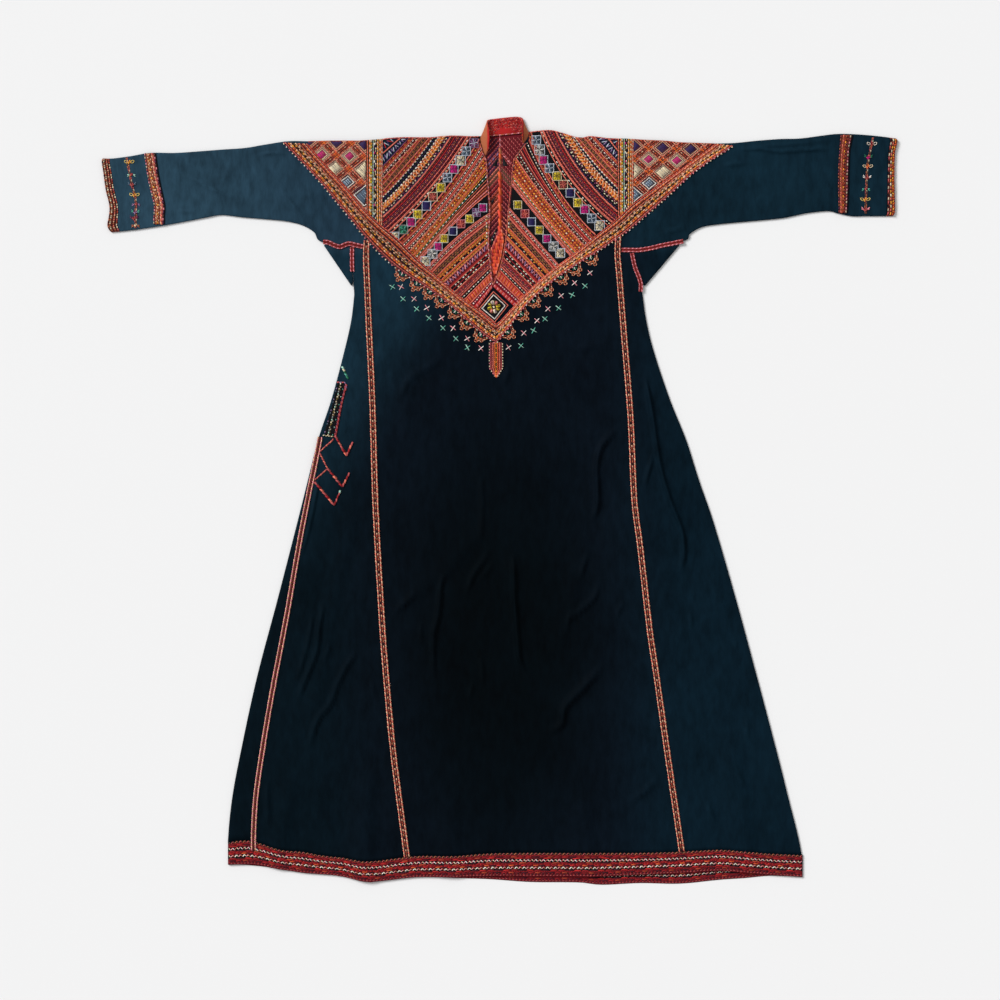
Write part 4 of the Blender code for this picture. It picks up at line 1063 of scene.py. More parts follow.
def side_rows(side, layer):
    """Rows of one side panel; side is 1 for the left of the body, layer 1 front or 2 back."""
    fold = fold_left if side > 0 else fold_right
    seam = seam_left if side > 0 else seam_right
    sign = 1.0 if layer == 1 else -1.0

    def gusset_edge(y):
        if side > 0:
            return mix(-262.0, -266.0, (y - ARMPIT) / (459.0 - ARMPIT))
        return mix(256.0, 237.6, (y - ARMPIT) / (451.0 - ARMPIT))

    def top_level(x):
        if side > 0:
            return mix(459.7, 455.7, (x + 266.0) / 27.0) - SEAM_GAP
        return mix(450.9, 452.9, (x - 213.0) / 25.0) - SEAM_GAP

    rows = []
    for level in body_levels(6.0 if layer == 1 else 12.0):
        above = level > ARMPIT
        turn = 0.0 if above else float(curve(SIDE_SEAM, 1 if side > 0 else 2, level))
        end = ARC if above else sign * (turn + sign * HALF_GAP)
        # distance along this piece from mid height of the fold, on its own layer positive
        far = np.linspace(min(end, -ARC), -ARC, 7)
        bend = np.linspace(-ARC, ARC, 9)
        d = np.maximum(np.concatenate([far, bend[1:]]), end)
        t = shares(63 if layer == 1 else 25)[1:]

        def x_at(v, d=d, t=t, above=above, end=end):
            edge = gusset_edge(v) - side * ROLL if above else fold(v)
            near = edge[:len(d)] + side * (ROLL - ROLL * np.cos(bent(d))
                                           + np.maximum(np.abs(d) - ARC, 0.0))
            start = edge[len(d):] + side * (ROLL + max(end, ARC) - ARC)
            return np.concatenate([near, mix(start, seam(v[len(d):]) - side * HALF_GAP, t)])

        flat_level = np.full(len(d) + len(t), level)
        x, y = settle(flat_level, layer, x_at)
        if above:
            y = y + (top_level(x) - UNDERARM) * ease((level - 405.0) / (UNDERARM - 405.0))
        over = lie(x, y)
        under = rest_on_floor(x, y)
        own, other = (over, under) if layer == 1 else (under, over)
        round_z = ROLL + sign * ROLL * np.sin(bent(d))
        z = np.concatenate([np.where(d <= -ARC, other[:len(d)],
                                     np.where(d >= ARC, own[:len(d)], round_z)), own[len(d):]])
        rows.append(stacked(x, y, z))
    return np.array(rows)


def hem_rows():
    """Rows round the embroidered hem: front from left to right, right fold, back, left fold."""
    front = np.linspace(*HEM_ENDS, 150)
    back = np.linspace(*HEM_ENDS[::-1], 90)
    d = np.linspace(ARC, -ARC, 7)[1:-1]
    rows = []
    for share in shares(13):
        y = curve(HEM, 1, front) + curve(HEM, 3, front) * (1.0 - share)
        over = stacked(front, y, lie(front, np.maximum(y, curve(HEM, 1, front) + 1.0)))
        right = turned(HEM_FOLDS[1], y[-1], (-1.0, 0.0), d)
        left = turned(HEM_FOLDS[0], y[0], (1.0, 0.0), -d)
        y = curve(HEM, 2, back) + curve(HEM, 3, back) * (1.0 - share)
        rows.append(np.concatenate([over, right, stacked(back, y, 0.0), left, over[:1]]))
    return np.array(rows)


def sleeve_rows(sections, closed_until, first, last_shift=0.0, last=None):
    """Rows round a sleeve from section number first to last, open where the cloth is gusseted."""
    sections = np.array(sections)
    sections[-1, [0, 2]] += last_shift
    end = len(sections) - 1 if last is None else last
    at = np.linspace(first, end, max(5, int((end - first) * 9)))
    table = np.column_stack([np.arange(len(sections), dtype=float), sections])
    rows = []
    for place, bx, by, tx, ty in zip(at, *(curve(table, c, at) for c in (1, 2, 3, 4))):
        length = math.hypot(tx - bx, ty - by)
        ux, uy = (tx - bx) / length, (ty - by) / length
        if place < closed_until:
            d = np.linspace(HALF_GAP, ARC, 5)[:-1]
            low = turned(bx, by, (ux, uy), d)
            low_back = turned(bx, by, (ux, uy), -d[::-1])
        else:
            d = np.linspace(HALF_GAP, ROLL, 5)[:-1]
            low = stacked(bx + ux * d, by + uy * d, FRONT)
            low_back = stacked(bx + ux * d[::-1], by + uy * d[::-1], 0.0)
        s = np.linspace(ROLL, length - ROLL, 46)
        top = on_front(bx + ux * s, by + uy * s)
        over = turned(tx, ty, (-ux, -uy), np.linspace(ARC, -ARC, 9)[1:-1])
        s = np.linspace(length - ROLL, ROLL, 16)
        rows.append(np.concatenate([low, top, over, on_floor(bx + ux * s, by + uy * s), low_back]))
    rows = np.array(rows)
    rows[..., 0] = swung(rows[..., 0], rows[..., 1])
    return rows


def swung(x, y):
    """Places near the cuffs, moved so that the cuff edges are not straight."""
    (left_x, left_y), (right_x, right_y) = CUFF_FEET
    left, right = np.clip((y - left_y) / 133.0, 0.0, 1.0), np.clip((y - right_y) / 140.0, 0.0, 1.0)
    left_share = 1.0 - ease((x - left_x + 30.0 * left) / 42.0)
    right_share = 1.0 - ease((right_x + 5.0 * right - x) / 30.0)
    return (x - curve(CUFF_SWING["left"], 1, left) * left_share
            - curve(CUFF_SWING["right"], 1, right) * right_share)


def gusset_rows(outer, corner, lower):
    """Rows of the square under the arm, folded corner to corner."""
    outer, corner, lower = (np.array(p, float) for p in (outer, corner, lower))
    rows = []
    for t in np.linspace(0.07, 0.93, 19):
        fold = mix(outer, lower, t)
        inner = mix(outer, corner, 2 * t) if t < 0.5 else mix(corner, lower, 2 * t - 1)
        length = np.linalg.norm(inner - fold)
        u = (inner - fold) / length
        x, y = fold[:, None] + u[:, None] * np.linspace(max(length, ROLL + 0.2), ROLL, 7)
        bend = turned(fold[0], fold[1], u, np.linspace(ARC, -ARC, 9)[1:-1])
        rows.append(np.concatenate([stacked(x, y, FRONT), bend, stacked(x[::-1], y[::-1], 0.0)]))
    return np.array(rows)


# ---------------------------------------------------------------- stitches
class Line:
    """A line on the cloth that stitches follow, walked by its length."""

    def __init__(self, points, sag=0.0):
        points = np.array(points, float)
        if len(points) == 2:
            t = shares(25)[:, None]
            d = points[1] - points[0]
            length = np.linalg.norm(d)
            normal = np.array([d[1], -d[0]]) / max(length, 1e-6)
            points = points[0] + d * t + normal * (4.0 * sag * t * (1.0 - t))
        self.points = points
        steps = np.linalg.norm(np.diff(points, axis=0), axis=1)
        self.far = np.concatenate([[0.0], np.cumsum(steps)])
        self.length = float(self.far[-1])

    def at(self, s):
        """The places at these lengths and the way the line goes there."""
        def spot(far):
            return np.column_stack([np.interp(far, self.far, c) for c in self.points.T])

        step = max(self.length * 0.01, 0.4)
        way = spot(np.clip(s + step, 0, self.length)) - spot(np.clip(s - step, 0, self.length))
        return spot(s), way / np.maximum(np.linalg.norm(way, axis=1), 1e-9)[:, None]

    def even(self, count=65):
        return self.at(np.linspace(0.0, self.length, count))[0]


def path(x, y):
    """The line through places given as X and Y."""
    return Line(np.column_stack([x, y]))


def between(first, second, share):
    """The line that lies a share of the way from one line to another."""
    return Line(mix(first.even(), second.even(), share))


def stitch_form():
    """Corner points and faces of one stitch along X, one unit each way."""
    bm = bmesh.new()
    bmesh.ops.create_uvsphere(bm, u_segments=3, v_segments=3, radius=0.5)
    bmesh.ops.rotate(bm, verts=bm.verts, matrix=Matrix.Rotation(-math.pi / 2, 3, "Y"))
    for vert in bm.verts:
        x, y, z = vert.co
        if abs(x) < 0.45:
            vert.co = (math.copysign(0.36, x), 0.52 * round(y / 0.375), 0.44 if z > 0.1 else -0.08)
    bm.verts.index_update()
    corners = np.array([v.co[:] for v in bm.verts])
    faces = [[v.index for v in f.verts] for f in bm.faces]
    bm.free()
    return corners, faces


STITCH = stitch_form()
SHORT_CORD = 24.0         # cords shorter than this are twisted more closely


def no_height(x, y):
    """For stitches whose lift gives their whole height."""
    return np.zeros_like(x)


class Threads:
    """The stitches of one piece, kept as numbers until they are joined into its mesh."""

    def __init__(self, seed, lift, high=0.8):
        self.random = np.random.default_rng(seed)
        self.lift = lift
        self.high = high
        self.parts = []

    def lay(self, centre, half, width, dyes, lift=0.0):
        """Stitches at their centres, with half their length as a vector, in dyes by turns."""
        n = len(centre)
        if not n:
            return
        numbers = np.resize([DYE_NAMES.index(dye) for dye in dyes.split(",")], n)
        wobble = self.random.normal(0.0, 0.12, (n, 2))
        turn = self.random.normal(0.0, 0.05, n)
        self.parts.append(np.column_stack([
            centre + wobble, half[:, 0] - half[:, 1] * turn, half[:, 1] + half[:, 0] * turn,
            width * self.random.uniform(0.92, 1.16, n), np.full(n, self.high * width),
            np.full(n, lift), numbers, self.random.uniform(0.84, 1.22, n)]))

    def one(self, spot, half, width, dyes, lift=0.0):
        """A single stitch."""
        self.lay(np.array([spot]), np.array([half]), width, dyes, lift)

    def dash(self, line, dyes, width, pitch, share, lift=0.0):
        """Running stitches, each a share of the pitch long."""
        count = int(line.length / pitch)
        if count < 1:
            return
        spot, way = line.at((np.arange(count) + 0.5) * line.length / count)
        self.lay(spot, way * pitch * share / 2, width, dyes, lift)

    def cord(self, line, dyes, width, lift=0.0):
        """A twisted thread laid along the line, as close slanting turns."""
        pitch = width * (1.45 if line.length < SHORT_CORD else 2.0)
        half = pitch / 2 + 0.36 * width
        lean = 0.26 * width / half
        count = max(1, int(line.length / pitch))
        spot, way = line.at((np.arange(count) + 0.5) * line.length / count)
        slant = way + lean * np.column_stack([-way[:, 1], way[:, 0]])
        self.lay(spot, slant * half, width, dyes, lift)

    def span(self, low, high, dyes, width, pitch, lift=0.0):
        """Flat stitches from one line across to the other."""
        count = max(1, int((low.length + high.length) / 2 / pitch))
        s = (np.arange(count) + 0.5) / count
        a, b = low.at(s * low.length)[0], high.at(s * high.length)[0]
        self.lay((a + b) / 2, (b - a) / 2, width, dyes, lift)

    def block(self, corners, dyes, width, pitch, lift=0.0):
        """A four-cornered field of flat stitches, which lie along its second side."""
        a, b, c, d = corners
        self.span(Line([a, b]), Line([d, c]), dyes, width, pitch, lift)

    def zigzag(self, low, high, dyes, width, pitch, lift=0.0):
        """Stitches that go from one line to the other and back, once each pitch."""
        turns = 2 * max(1, int(low.length / pitch))
        s = np.arange(turns + 1) / turns
        a, b = low.at(s * low.length)[0], high.at(s * high.length)[0]
        points = np.where((np.arange(turns + 1) % 2 == 0)[:, None], a, b)
        self.lay((points[1:] + points[:-1]) / 2, np.diff(points, axis=0) * 0.54, width, dyes, lift)

    def zagzig(self, low, high, dyes, width, pitch, lift=0.0):
        """The zigzag that crosses another one, over it."""
        self.zigzag(high, low, dyes, width, pitch, lift + 0.3)

    def across(self, low, high, threads, lift=0.0):
        """Rows of threads between two lines, as a table of them says."""
        for way, *row in threads:
            places = 1 if way in ("cord", "dash") else 2
            lines = [between(low, high, place) for place in row[:places]]
            getattr(self, way)(*lines, *row[places:], lift)

    def loop(self, points, dyes, width, lift=0.0):
        """A closed outline in corded thread."""
        self.cord(Line(list(points) + [points[0]]), dyes, width, lift)

    def cross(self, x, y, size, dyes, width, turn, lift):
        """Two single stitches that cross."""
        for k, dye in enumerate(dyes.split(",")):
            a = turn + math.pi / 4 + k * math.pi / 2
            half = np.array([math.cos(a), math.sin(a)]) * size
            self.one((x, y), half, width, dye, lift + 0.2 * k)

    def ring(self, x, y, radius, dyes, width, lift=0.0):
        a = np.linspace(0.0, 2.0 * math.pi, 9)
        self.cord(path(x + radius * np.cos(a), y + radius * np.sin(a)), dyes, width, lift)

    def star(self, x, y, size, dyes, width, rays, lift):
        """A small flower of stitches that meet in its middle."""
        a = np.arange(rays) * 2 * math.pi / rays + 0.2
        half = np.column_stack([np.cos(a), np.sin(a)]) * size * 0.5
        self.lay(half + (x, y), half, width, dyes, lift)

    def lozenge(self, x, y, size, dye, lift):
        """An upright square of flat stitches with a star over it and a thin rim."""
        fill, rim, width, *star = LOZENGE_TRIM[dye]
        turns = np.array([(-1, -1), (-1, 1), (1, 1), (1, -1)])
        self.block(turns * size * 0.88 + (x, y), fill, 2.2, 1.9, lift)
        if star:
            self.star(x, y, size * 0.88 * 1.2, star[0], 1.2, 8, lift + 0.6)
        self.loop(turns[[0, 3, 2, 1]] * size + (x, y), rim, width, lift + 0.3)

    def trim(self, polygon):
        """Cut the stitches off at the edge of a polygon."""
        t = np.linspace(-1.0, 1.0, 13)
        kept = []
        for part in self.parts:
            spots = part[:, None, :2] + t[None, :, None] * part[:, None, 2:4]
            hit = inside(spots.reshape(-1, 2), polygon).reshape(len(part), len(t))
            first, last = np.where(hit, t, 2.0).min(axis=1), np.where(hit, t, -2.0).max(axis=1)
            keep = last - first > 0.3
            part, first, last = part[keep].copy(), first[keep, None], last[keep, None]
            part[:, :2] += (first + last) / 2 * part[:, 2:4]
            part[:, 2:4] *= (last - first) / 2
            kept.append(part)
        self.parts = kept

    def make(self, name, height=lie):
        """Join the stitches into one mesh, each the same form at its own place."""
        cx, cy, hx, hy, width, high, lift, number, shade = np.concatenate(self.parts).T
        corners, faces = STITCH
        count, size = len(cx), len(corners)
        length = np.maximum(np.hypot(hx, hy), 1e-6)
        sx, sy = -hy / length * width, hx / length * width
        tx, ty, tz = corners.T[:, None, :]
        x = cx[:, None] + 2 * tx * hx[:, None] + ty * sx[:, None]
        y = cy[:, None] + 2 * tx * hy[:, None] + ty * sy[:, None]
        foot, head = height(cx - hx, cy - hy), height(cx + hx, cy + hy)
        z = mix(foot[:, None], head[:, None], tx + 0.5)
        z = z + (self.lift + lift)[:, None] + tz * high[:, None]
        points = stacked(x, y + CENTRE_Y, z) * MM
        loops = np.concatenate(faces)
        starts = np.cumsum([0] + [len(f) for f in faces[:-1]])
        order = np.arange(count)[:, None] * size + loops
        begin = np.arange(count)[:, None] * len(loops) + starts
        mesh = bpy.data.meshes.new(name)
        for data, key, values, kind, each in (
                (mesh.vertices, "co", points, np.float32, 3),
                (mesh.loops, "vertex_index", order, np.int32, 1),
                (mesh.polygons, "loop_start", begin, np.int32, 1)):
            values = values.astype(kind).ravel()
            data.add(len(values) // each)
            data.foreach_set(key, values)
        mesh.polygons.foreach_set("use_smooth", np.ones(begin.size, bool))
        mesh.update(calc_edges=True)
        colour = np.array(list(DYES.values()))[number.astype(int)] * shade[:, None]
        colour = np.repeat(np.column_stack([colour, np.ones(count)]), size, axis=0)
        attribute = mesh.attributes.new("dye", "FLOAT_COLOR", "POINT")
        attribute.data.foreach_set("color", colour.astype(np.float32).ravel())
        mesh.materials.append(silk())
        placed(name, mesh)


def ribbon(points, width):
    """The two edge lines of a strip of one width along a path."""
    d = np.vstack([points[1:], points[-1:]]) - np.vstack([points[:1], points[:-1]])
    n = np.column_stack([d[:, 1], -d[:, 0]]) / np.linalg.norm(d, axis=1)[:, None] * width / 2
    return Line(points - n), Line(points + n)


def strip(name, low, high, lifts, count, node, under, dyes):
    """A sewn-on strip between two lines, with its height at even shares across."""
    rows = [on_front(*between(low, high, share).even(count).T, lift)
            for share, lift in zip(shares(len(lifts)), lifts)]
    dyes = dyes.split(",")
    cloth(name, [np.array(rows)], [node], under, dyes * ((len(lifts) - 1) // len(dyes)))


FLAT_STRIP = (1.1,) * 9


def stitch_across(name, seed, lift, low, high, threads, height=lie):
    """A piece of threads laid between two lines, as a table of them says."""
    stitches = Threads(seed, lift)
    stitches.across(low, high, threads)
    stitches.make(name, height)


def inside(points, polygon):
    """Which points lie in a polygon."""
    x, y = points.T
    hit = np.zeros(len(points), bool)
    for (ax, ay), (bx, by) in zip(polygon, [*polygon[1:], polygon[0]]):
        cuts = (ay > y) != (by > y)
        hit ^= cuts & (x < (bx - ax) * (y - ay) / ((by - ay) or 1e-9) + ax)
    return hit


# ---------------------------------------------------------------- settings
def colour_setting(name, words, colour):
    return FloatVectorProperty(name=name, description=words, default=colour, subtype="COLOR")


class ClothSettings(PropertyGroup):
    """Sizes and colours of the cotton."""
    wall: FloatProperty(name="Cloth", description="Thickness of the cotton in millimetres",
                        default=0.8, min=0.3, max=1.2)
    weave: FloatProperty(name="Weave", description="Distance between two threads of the weave",
                         default=0.0011, unit="LENGTH", precision=5)
    gloss: FloatProperty(name="Gloss", description="How much the cotton shines", default=0.025,
                         min=0.0, max=1.0, subtype="FACTOR")
    middle: colour_setting("Middle", "Colour down the middle of the body", (0.0005, 0.0017, 0.0027))
    ends: colour_setting("Chest and hem", "Colour of the body near chest and hem",
                         (0.0017, 0.0040, 0.0076))
    left_side: colour_setting("Left side", "Colour of the left side panel",
                              (0.0011, 0.0043, 0.0073))
    right_side: colour_setting("Right side", "Colour of the right side panel",
                               (0.0016, 0.0070, 0.0125))
    # The upper left and left sleeve colours make the cloth lighter there than down the middle.
    upper_left: colour_setting("Upper left", "Colour of the lighter cloth below the left arm",
                               (0.0052, 0.0184, 0.0306))
    right_sleeve: colour_setting("Right sleeve", "Colour of the right sleeve",
                                 (0.0032, 0.0130, 0.0220))
    left_sleeve: colour_setting("Left sleeve", "Colour of the lighter left sleeve",
                                (0.0160, 0.0400, 0.0620))


class SilkSettings(PropertyGroup):
    """Sizes and gloss of the silk."""
    ground: FloatProperty(name="Sewn-on cloth", default=0.8, min=0.3, max=1.2,
                          description="Thickness of the stitched pieces in millimetres")
    gloss: FloatProperty(name="Gloss", description="How much the silk shines", default=0.2,
                         min=0.0, max=1.0, subtype="FACTOR")


class StageSettings(PropertyGroup):
    """Floor, light and camera."""
    floor: colour_setting("Floor", "Colour of the floor", (0.86, 0.86, 0.862))
    sky: FloatProperty(name="Soft light", description="Strength of the light from all round",
                       default=0.5, min=0.0, max=5.0)
    key: FloatProperty(name="Slanting light", default=2.85, min=0.0, max=20.0,
                       description="Strength of the light from the upper left")
    lens: FloatProperty(name="Lens", description="Focal length of the camera in millimetres",
                        default=85.0, min=20.0, max=200.0)
    distance: FloatProperty(name="Camera height", description="Height of the camera over the dress",
                            default=4.254, unit="LENGTH", min=1.0)


# ---------------------------------------------------------------- operators
class DRESS_OT_middle_panels(Operator):
    """Front and back panels of the body"""
    bl_idname = "dress.middle_panels"
    bl_label = "Middle Panels"

    def execute(self, context):
        cloth("back_cloth", [back_middle()], ["back_panel"], ["floor"])
        cloth("front_cloth", [front_middle(1), front_middle(-1)], ["front_panel"],
              ["back_cloth"])
        return {"FINISHED"}


class DRESS_OT_side_panels(Operator):
    """The four panels that widen the body at its sides"""
    bl_idname = "dress.side_panels"
    bl_label = "Side Panels"

    def execute(self, context):
        for side, word in ((1, "left"), (-1, "right")):
            for layer, part, under in ((2, "back", "floor"), (1, "front", "side_back_" + word)):
                cloth(f"side_{part}_cloth_{word}", [side_rows(side, layer)],
                      [f"side_{part}_{word}"], [under])
        return {"FINISHED"}


class DRESS_OT_sleeves(Operator):
    """Sleeves folded at the shoulder, and the squares under the arms"""
    bl_idname = "dress.sleeves"
    bl_label = "Sleeves"

    def execute(self, context):
        for word, table, closed, start, shift in (("left", LEFT_SLEEVE, 12, 0.788, -SEAM_GAP),
                                                  ("right", RIGHT_SLEEVE, 13, 0.518, SEAM_GAP)):
            cloth("sleeve_cloth_" + word, [sleeve_rows(table, closed, start, shift)],
                  ["sleeve_" + word], ["floor"])
        for word, points in (("left", ((-320, 464.6), (-267, 458.6), (-263, 381))),
                             ("right", ((329, 465.4), (239.4, 451.4), (257.4, 381)))):
            cloth("gusset_cloth_" + word, [gusset_rows(*points)],
                  ["gusset_" + word], ["floor"])
        return {"FINISHED"}


class DRESS_OT_hem(Operator):
    """Embroidered band round the lower edge"""
    bl_idname = "dress.hem"
    bl_label = "Hem"

    def execute(self, context):
        rows = hem_rows()
        ends = shares(len(rows))
        dyes = [next(dye for end, dye in HEM_GROUND if (a + b) / 2 < end)
                for a, b in zip(ends, ends[1:])]
        cloth("hem_cloth", [rows], ["hem_band"], ["floor"], dyes)
        x = np.linspace(*HEM_ENDS, 260)
        for word, layer, seed, lift, height in (
                ("front", 1, 31, 0.35, lambda u, v: lie(u, np.maximum(v, curve(HEM, 1, u) + 1.0))),
                ("back", 2, 32, 0.0, lambda u, v: np.full_like(u, 0.75))):
            y = curve(HEM, layer, x)
            stitch_across("hem_stitches_" + word, seed, lift,
                          path(x, y + curve(HEM, 3, x)), path(x, y + 1.2), HEM_THREADS, height)
        return {"FINISHED"}


class ChestHalf:
    """The edges of one half of the chest and the lines that part its rows."""

    def __init__(self, side):
        left = side == "left"
        first, self.sense = (1, 1.0) if left else (6, -1.0)
        self.column = 1 if left else 2
        self.band = -210.6 if left else 213.2
        self.border = [row[2:] for row in (LEFT_BORDER if left else RIGHT_BORDER)]
        corner = ("corner", -211.0, 648.4, -208.5, 650.4, 0, 213.4, 650.9, 211.5, 652.0, 0)
        self.lines = []
        for entry in (corner, *CHEST_ROWS):
            px, py, qx, qy, sag = entry[first:first + 5]
            line = Line([(px, py), (qx, qy)], sag * self.sense)
            ends = []
            for tip, back in ((0, 1), (-1, -2)):
                way = line.points[tip] - line.points[back]
                way = way / np.linalg.norm(way)
                ends.append(line.points[tip] + way * np.linspace(1.0, 16.0, 16)[:, None])
            self.lines.append(Line(np.concatenate([ends[0][::-1], line.points, ends[1]])))

    def slit(self, y):
        return curve(SLIT, self.column, y) - 0.9 * self.sense

    def ground(self):
        """The parts of the lines that lie on the chest, the corners filled."""
        top = self.slit(652.0)
        corners = [(self.band, float(straight(self.border, self.band)) + 0.9),
                   (top, float(shoulder(top)) - 0.1)]
        kept = []
        for line in self.lines:
            points = line.even(500)
            x, y = points.T
            keep = (y >= straight(self.border, x) + 0.9) & (y <= shoulder(x) - 0.1)
            keep &= (x - self.band) * self.sense >= 0.0
            keep &= ((self.slit(y) - x) * self.sense >= 0.0)
            kept.append(points[keep] if keep.sum() > 2 else points[240:244])
        first = next(k for k, points in enumerate(kept) if abs(points[0, 0] - self.band) > 1.5)
        last = next(k for k, points in enumerate(kept)
                    if points[-1, 1] < shoulder(points[-1, 0]) - 1.5)
        kept[first] = np.vstack([corners[0], kept[first]])
        kept[last] = np.vstack([kept[last], corners[1]])
        return [Line(points) for points in kept]

    def outline(self):
        """A polygon round the chest, just inside its edges."""
        x = np.linspace(self.band + 0.6 * self.sense, self.slit(650.0) - 0.3 * self.sense, 40)
        y = np.linspace(650.0, 381.0, 60)
        last = self.lines[-1].points[16:-16][::-1]
        low = np.linspace(last[-1, 0], self.band + 0.6 * self.sense, 60)
        return ([(a, shoulder(a) - 0.8) for a in x]
                + [(self.slit(b) - 0.5 * self.sense, b) for b in y]
                + list(last) + [(a, straight(self.border, a) + 1.2) for a in low])


class DRESS_OT_chest(Operator):
    """Embroidered rows on both halves of the chest"""
    bl_idname = "dress.chest"
    bl_label = "Chest Rows"

    def execute(self, context):
        base = ON_TOP + context.scene.dress_silk.ground
        for side, seed, slit_x, slit_foot in (("left", 11, -23.4, 460.0),
                                              ("right", 12, 17.4, 483.0)):
            half = ChestHalf(side)
            ground = half.ground()
            rows, dyes = [], []
            stitches = Threads(seed, base + 0.35)
            for k, entry in enumerate(CHEST_ROWS):
                dye, rib, threads = ROW_KINDS[entry[0]]
                for share, lift in ((0.0, 0.1), (0.5, rib)):
                    spots = between(ground[k], ground[k + 1], share).even(45)
                    rows.append(on_front(*spots.T, base + lift))
                    dyes.append(dye)
                stitches.across(half.lines[k], half.lines[k + 1], threads, 0.6 * rib)
            rows.append(on_front(*ground[-1].even(45).T, base + 0.1))
            for size, flowers in LOZENGES[side].items():
                for dye, x, y in flowers:
                    grow = 1.0 if dye in ("cream", "grey") else 0.0
                    stitches.lozenge(x, y, size + grow, dye, 0.3)
            stitches.trim(half.outline())
            stitches.dash(Line([(slit_x, 514.0), (slit_x + 0.8 * half.sense, slit_foot)]),
                          "cream,amber,white", 2.0, 6.0, 0.62, 0.9)
            x = np.linspace(half.band + half.sense, half.slit(650.0) - half.sense, 80)
            stitches.cord(path(x, shoulder(x) - 1.2), "salmon,rose", 1.6, 0.3)
            cloth("chest_ground_" + side, [np.array(rows)], ["chest_" + side],
                  ["front_cloth"], dyes)
            stitches.make("chest_stitches_" + side)
        return {"FINISHED"}


class DRESS_OT_border(Operator):
    """Corded border round the chest and the bands over the shoulders"""
    bl_idname = "dress.border"
    bl_label = "Chest Border"

    def execute(self, context):
        bands = (
            ("border_left", "chest_border_left", along(LEFT_BORDER, 90), BORDER_THREADS,
             ["front_cloth", "sleeve_cloth_left"]),
            ("border_right", "chest_border_right", along(RIGHT_BORDER, 90), BORDER_THREADS,
             ["front_cloth", "sleeve_cloth_right"]),
            ("shoulder_left", "shoulder_band_left", np.array(SHOULDER_BANDS["left"]), BAND_THREADS,
             ["front_cloth"]),
            ("shoulder_right", "shoulder_band_right", np.array(SHOULDER_BANDS["right"]),
             BAND_THREADS, ["front_cloth"]))
        for k, (name, node, pairs, threads, under) in enumerate(bands):
            low, high = Line(pairs[:, :2]), Line(pairs[:, 2:])
            strip(name + "_ground", low, high, (0.9, 1.4, 1.2, 1.5, 1.2, 1.5, 1.2, 1.4, 0.9), 70,
                  node, under,
                  "garnet,rust,garnet,coal,coal,garnet,brick,garnet")
            stitch_across(name + "_stitches", 21 + k, 1.75, low, high, threads)
        return {"FINISHED"}


class DRESS_OT_wings(Operator):
    """Lattice of lozenges on the corners between border and shoulder"""
    bl_idname = "dress.wings"
    bl_label = "Shoulder Corners"

    def execute(self, context):
        for side, seed, columns, border, sleeve in (
                ("left", 41, (-344, -305, -269, -246, -239.4), LEFT_BORDER, LEFT_SLEEVE),
                ("right", 42, (241.2, 256, 289, 343, 386), RIGHT_BORDER, RIGHT_SLEEVE)):
            x = np.interp(np.linspace(0, 4, 41), range(5), columns)
            low = straight([row[2:] for row in border], x) + 1.4
            high = straight([row[2:] for row in sleeve], x) - 0.3
            rows = [on_front(x, mix(low, high, s), 1.1) for s in shares(15)]
            cloth("corner_ground_" + side, [np.array(rows)], ["wing_" + side],
                  ["sleeve_cloth_" + side], ["rust"] * 14)
            stitches = Threads(seed, 1.5)
            origin, a, b = np.array(LATTICES[side])
            u, v = a / np.linalg.norm(a), b / np.linalg.norm(b)
            for i in range(-5, 8):
                for j in range(-5, 8):
                    self.crossing(stitches, origin + a * (i - 0.5) + b * (j - 0.5), a, b, u, v)
                    if i + j in LATTICE_DYES:
                        self.diamond(stitches, origin + a * i + b * j, u, v, *LATTICE_DYES[i + j])
            stitches.trim([*zip(x, low + 1.2), *zip(x[::-1], high[::-1] - 1.0)])
            stitches.make("corner_stitches_" + side)
        return {"FINISHED"}

    def crossing(self, stitches, corner, a, b, u, v):
        """The two bands of threads from one corner of a lozenge, and the knot on that corner."""
        for step, aside, lift in ((a, v, 0.0), (b, u, 0.3)):
            for way, offset, *row in LATTICE_THREADS:
                start = corner + aside * offset
                getattr(stitches, way)(Line([start, start + step]), *row, lift)
        for lift, along_way, across_way in ((0.6, u, v), (0.9, v, u)):
            for offset in (-5.0, -2.5, 0.0, 2.5, 5.0):
                spot = corner + across_way * offset
                stitches.dash(Line([spot - along_way * 6.6, spot + along_way * 6.6]),
                              "flame,orange,rust,orange", 1.7, 4.4, 0.66, lift)

    def diamond(self, stitches, centre, u, v, dye, core, frame, reach):
        """One lozenge of the lattice: its middle, its frame and the lines round them."""
        edge, grow = 242.0, 1.0
        aside = abs(centre[0]) - edge
        if -6.0 < aside < 12.0:
            grow = 1.0 + max(aside, 0.0) / (1.4 * reach)
            centre = np.array([math.copysign(edge, centre[0]), centre[1]])

        def square(half):
            half = half * grow
            return [centre + u * half * i + v * half * j
                    for i, j in ((-1, -1), (1, -1), (1, 1), (-1, 1))]

        stitches.block(square(11.4), "garnet", 2.4, 2.0, 0.5)
        stitches.block(square(reach), frame, 2.2, 1.9, 0.8)
        stitches.block([square(core)[k] for k in (0, 3, 2, 1)], dye, 2.2, 1.8, 1.1)
        stitches.loop(square(11.8), "salmon,peach", 1.3, 0.8)
        for name, width, half in LATTICE_RIMS[dye]:
            stitches.loop(square(half), name, width, 1.3)
        if dye in LATTICE_LINES:
            for share in (-0.55, 0.0, 0.55):
                spot = centre + v * core * share
                stitches.dash(Line([spot - u * core * 0.8, spot + u * core * 0.8]),
                              LATTICE_LINES[dye], 1.2, 5.0, 0.95, 1.5)


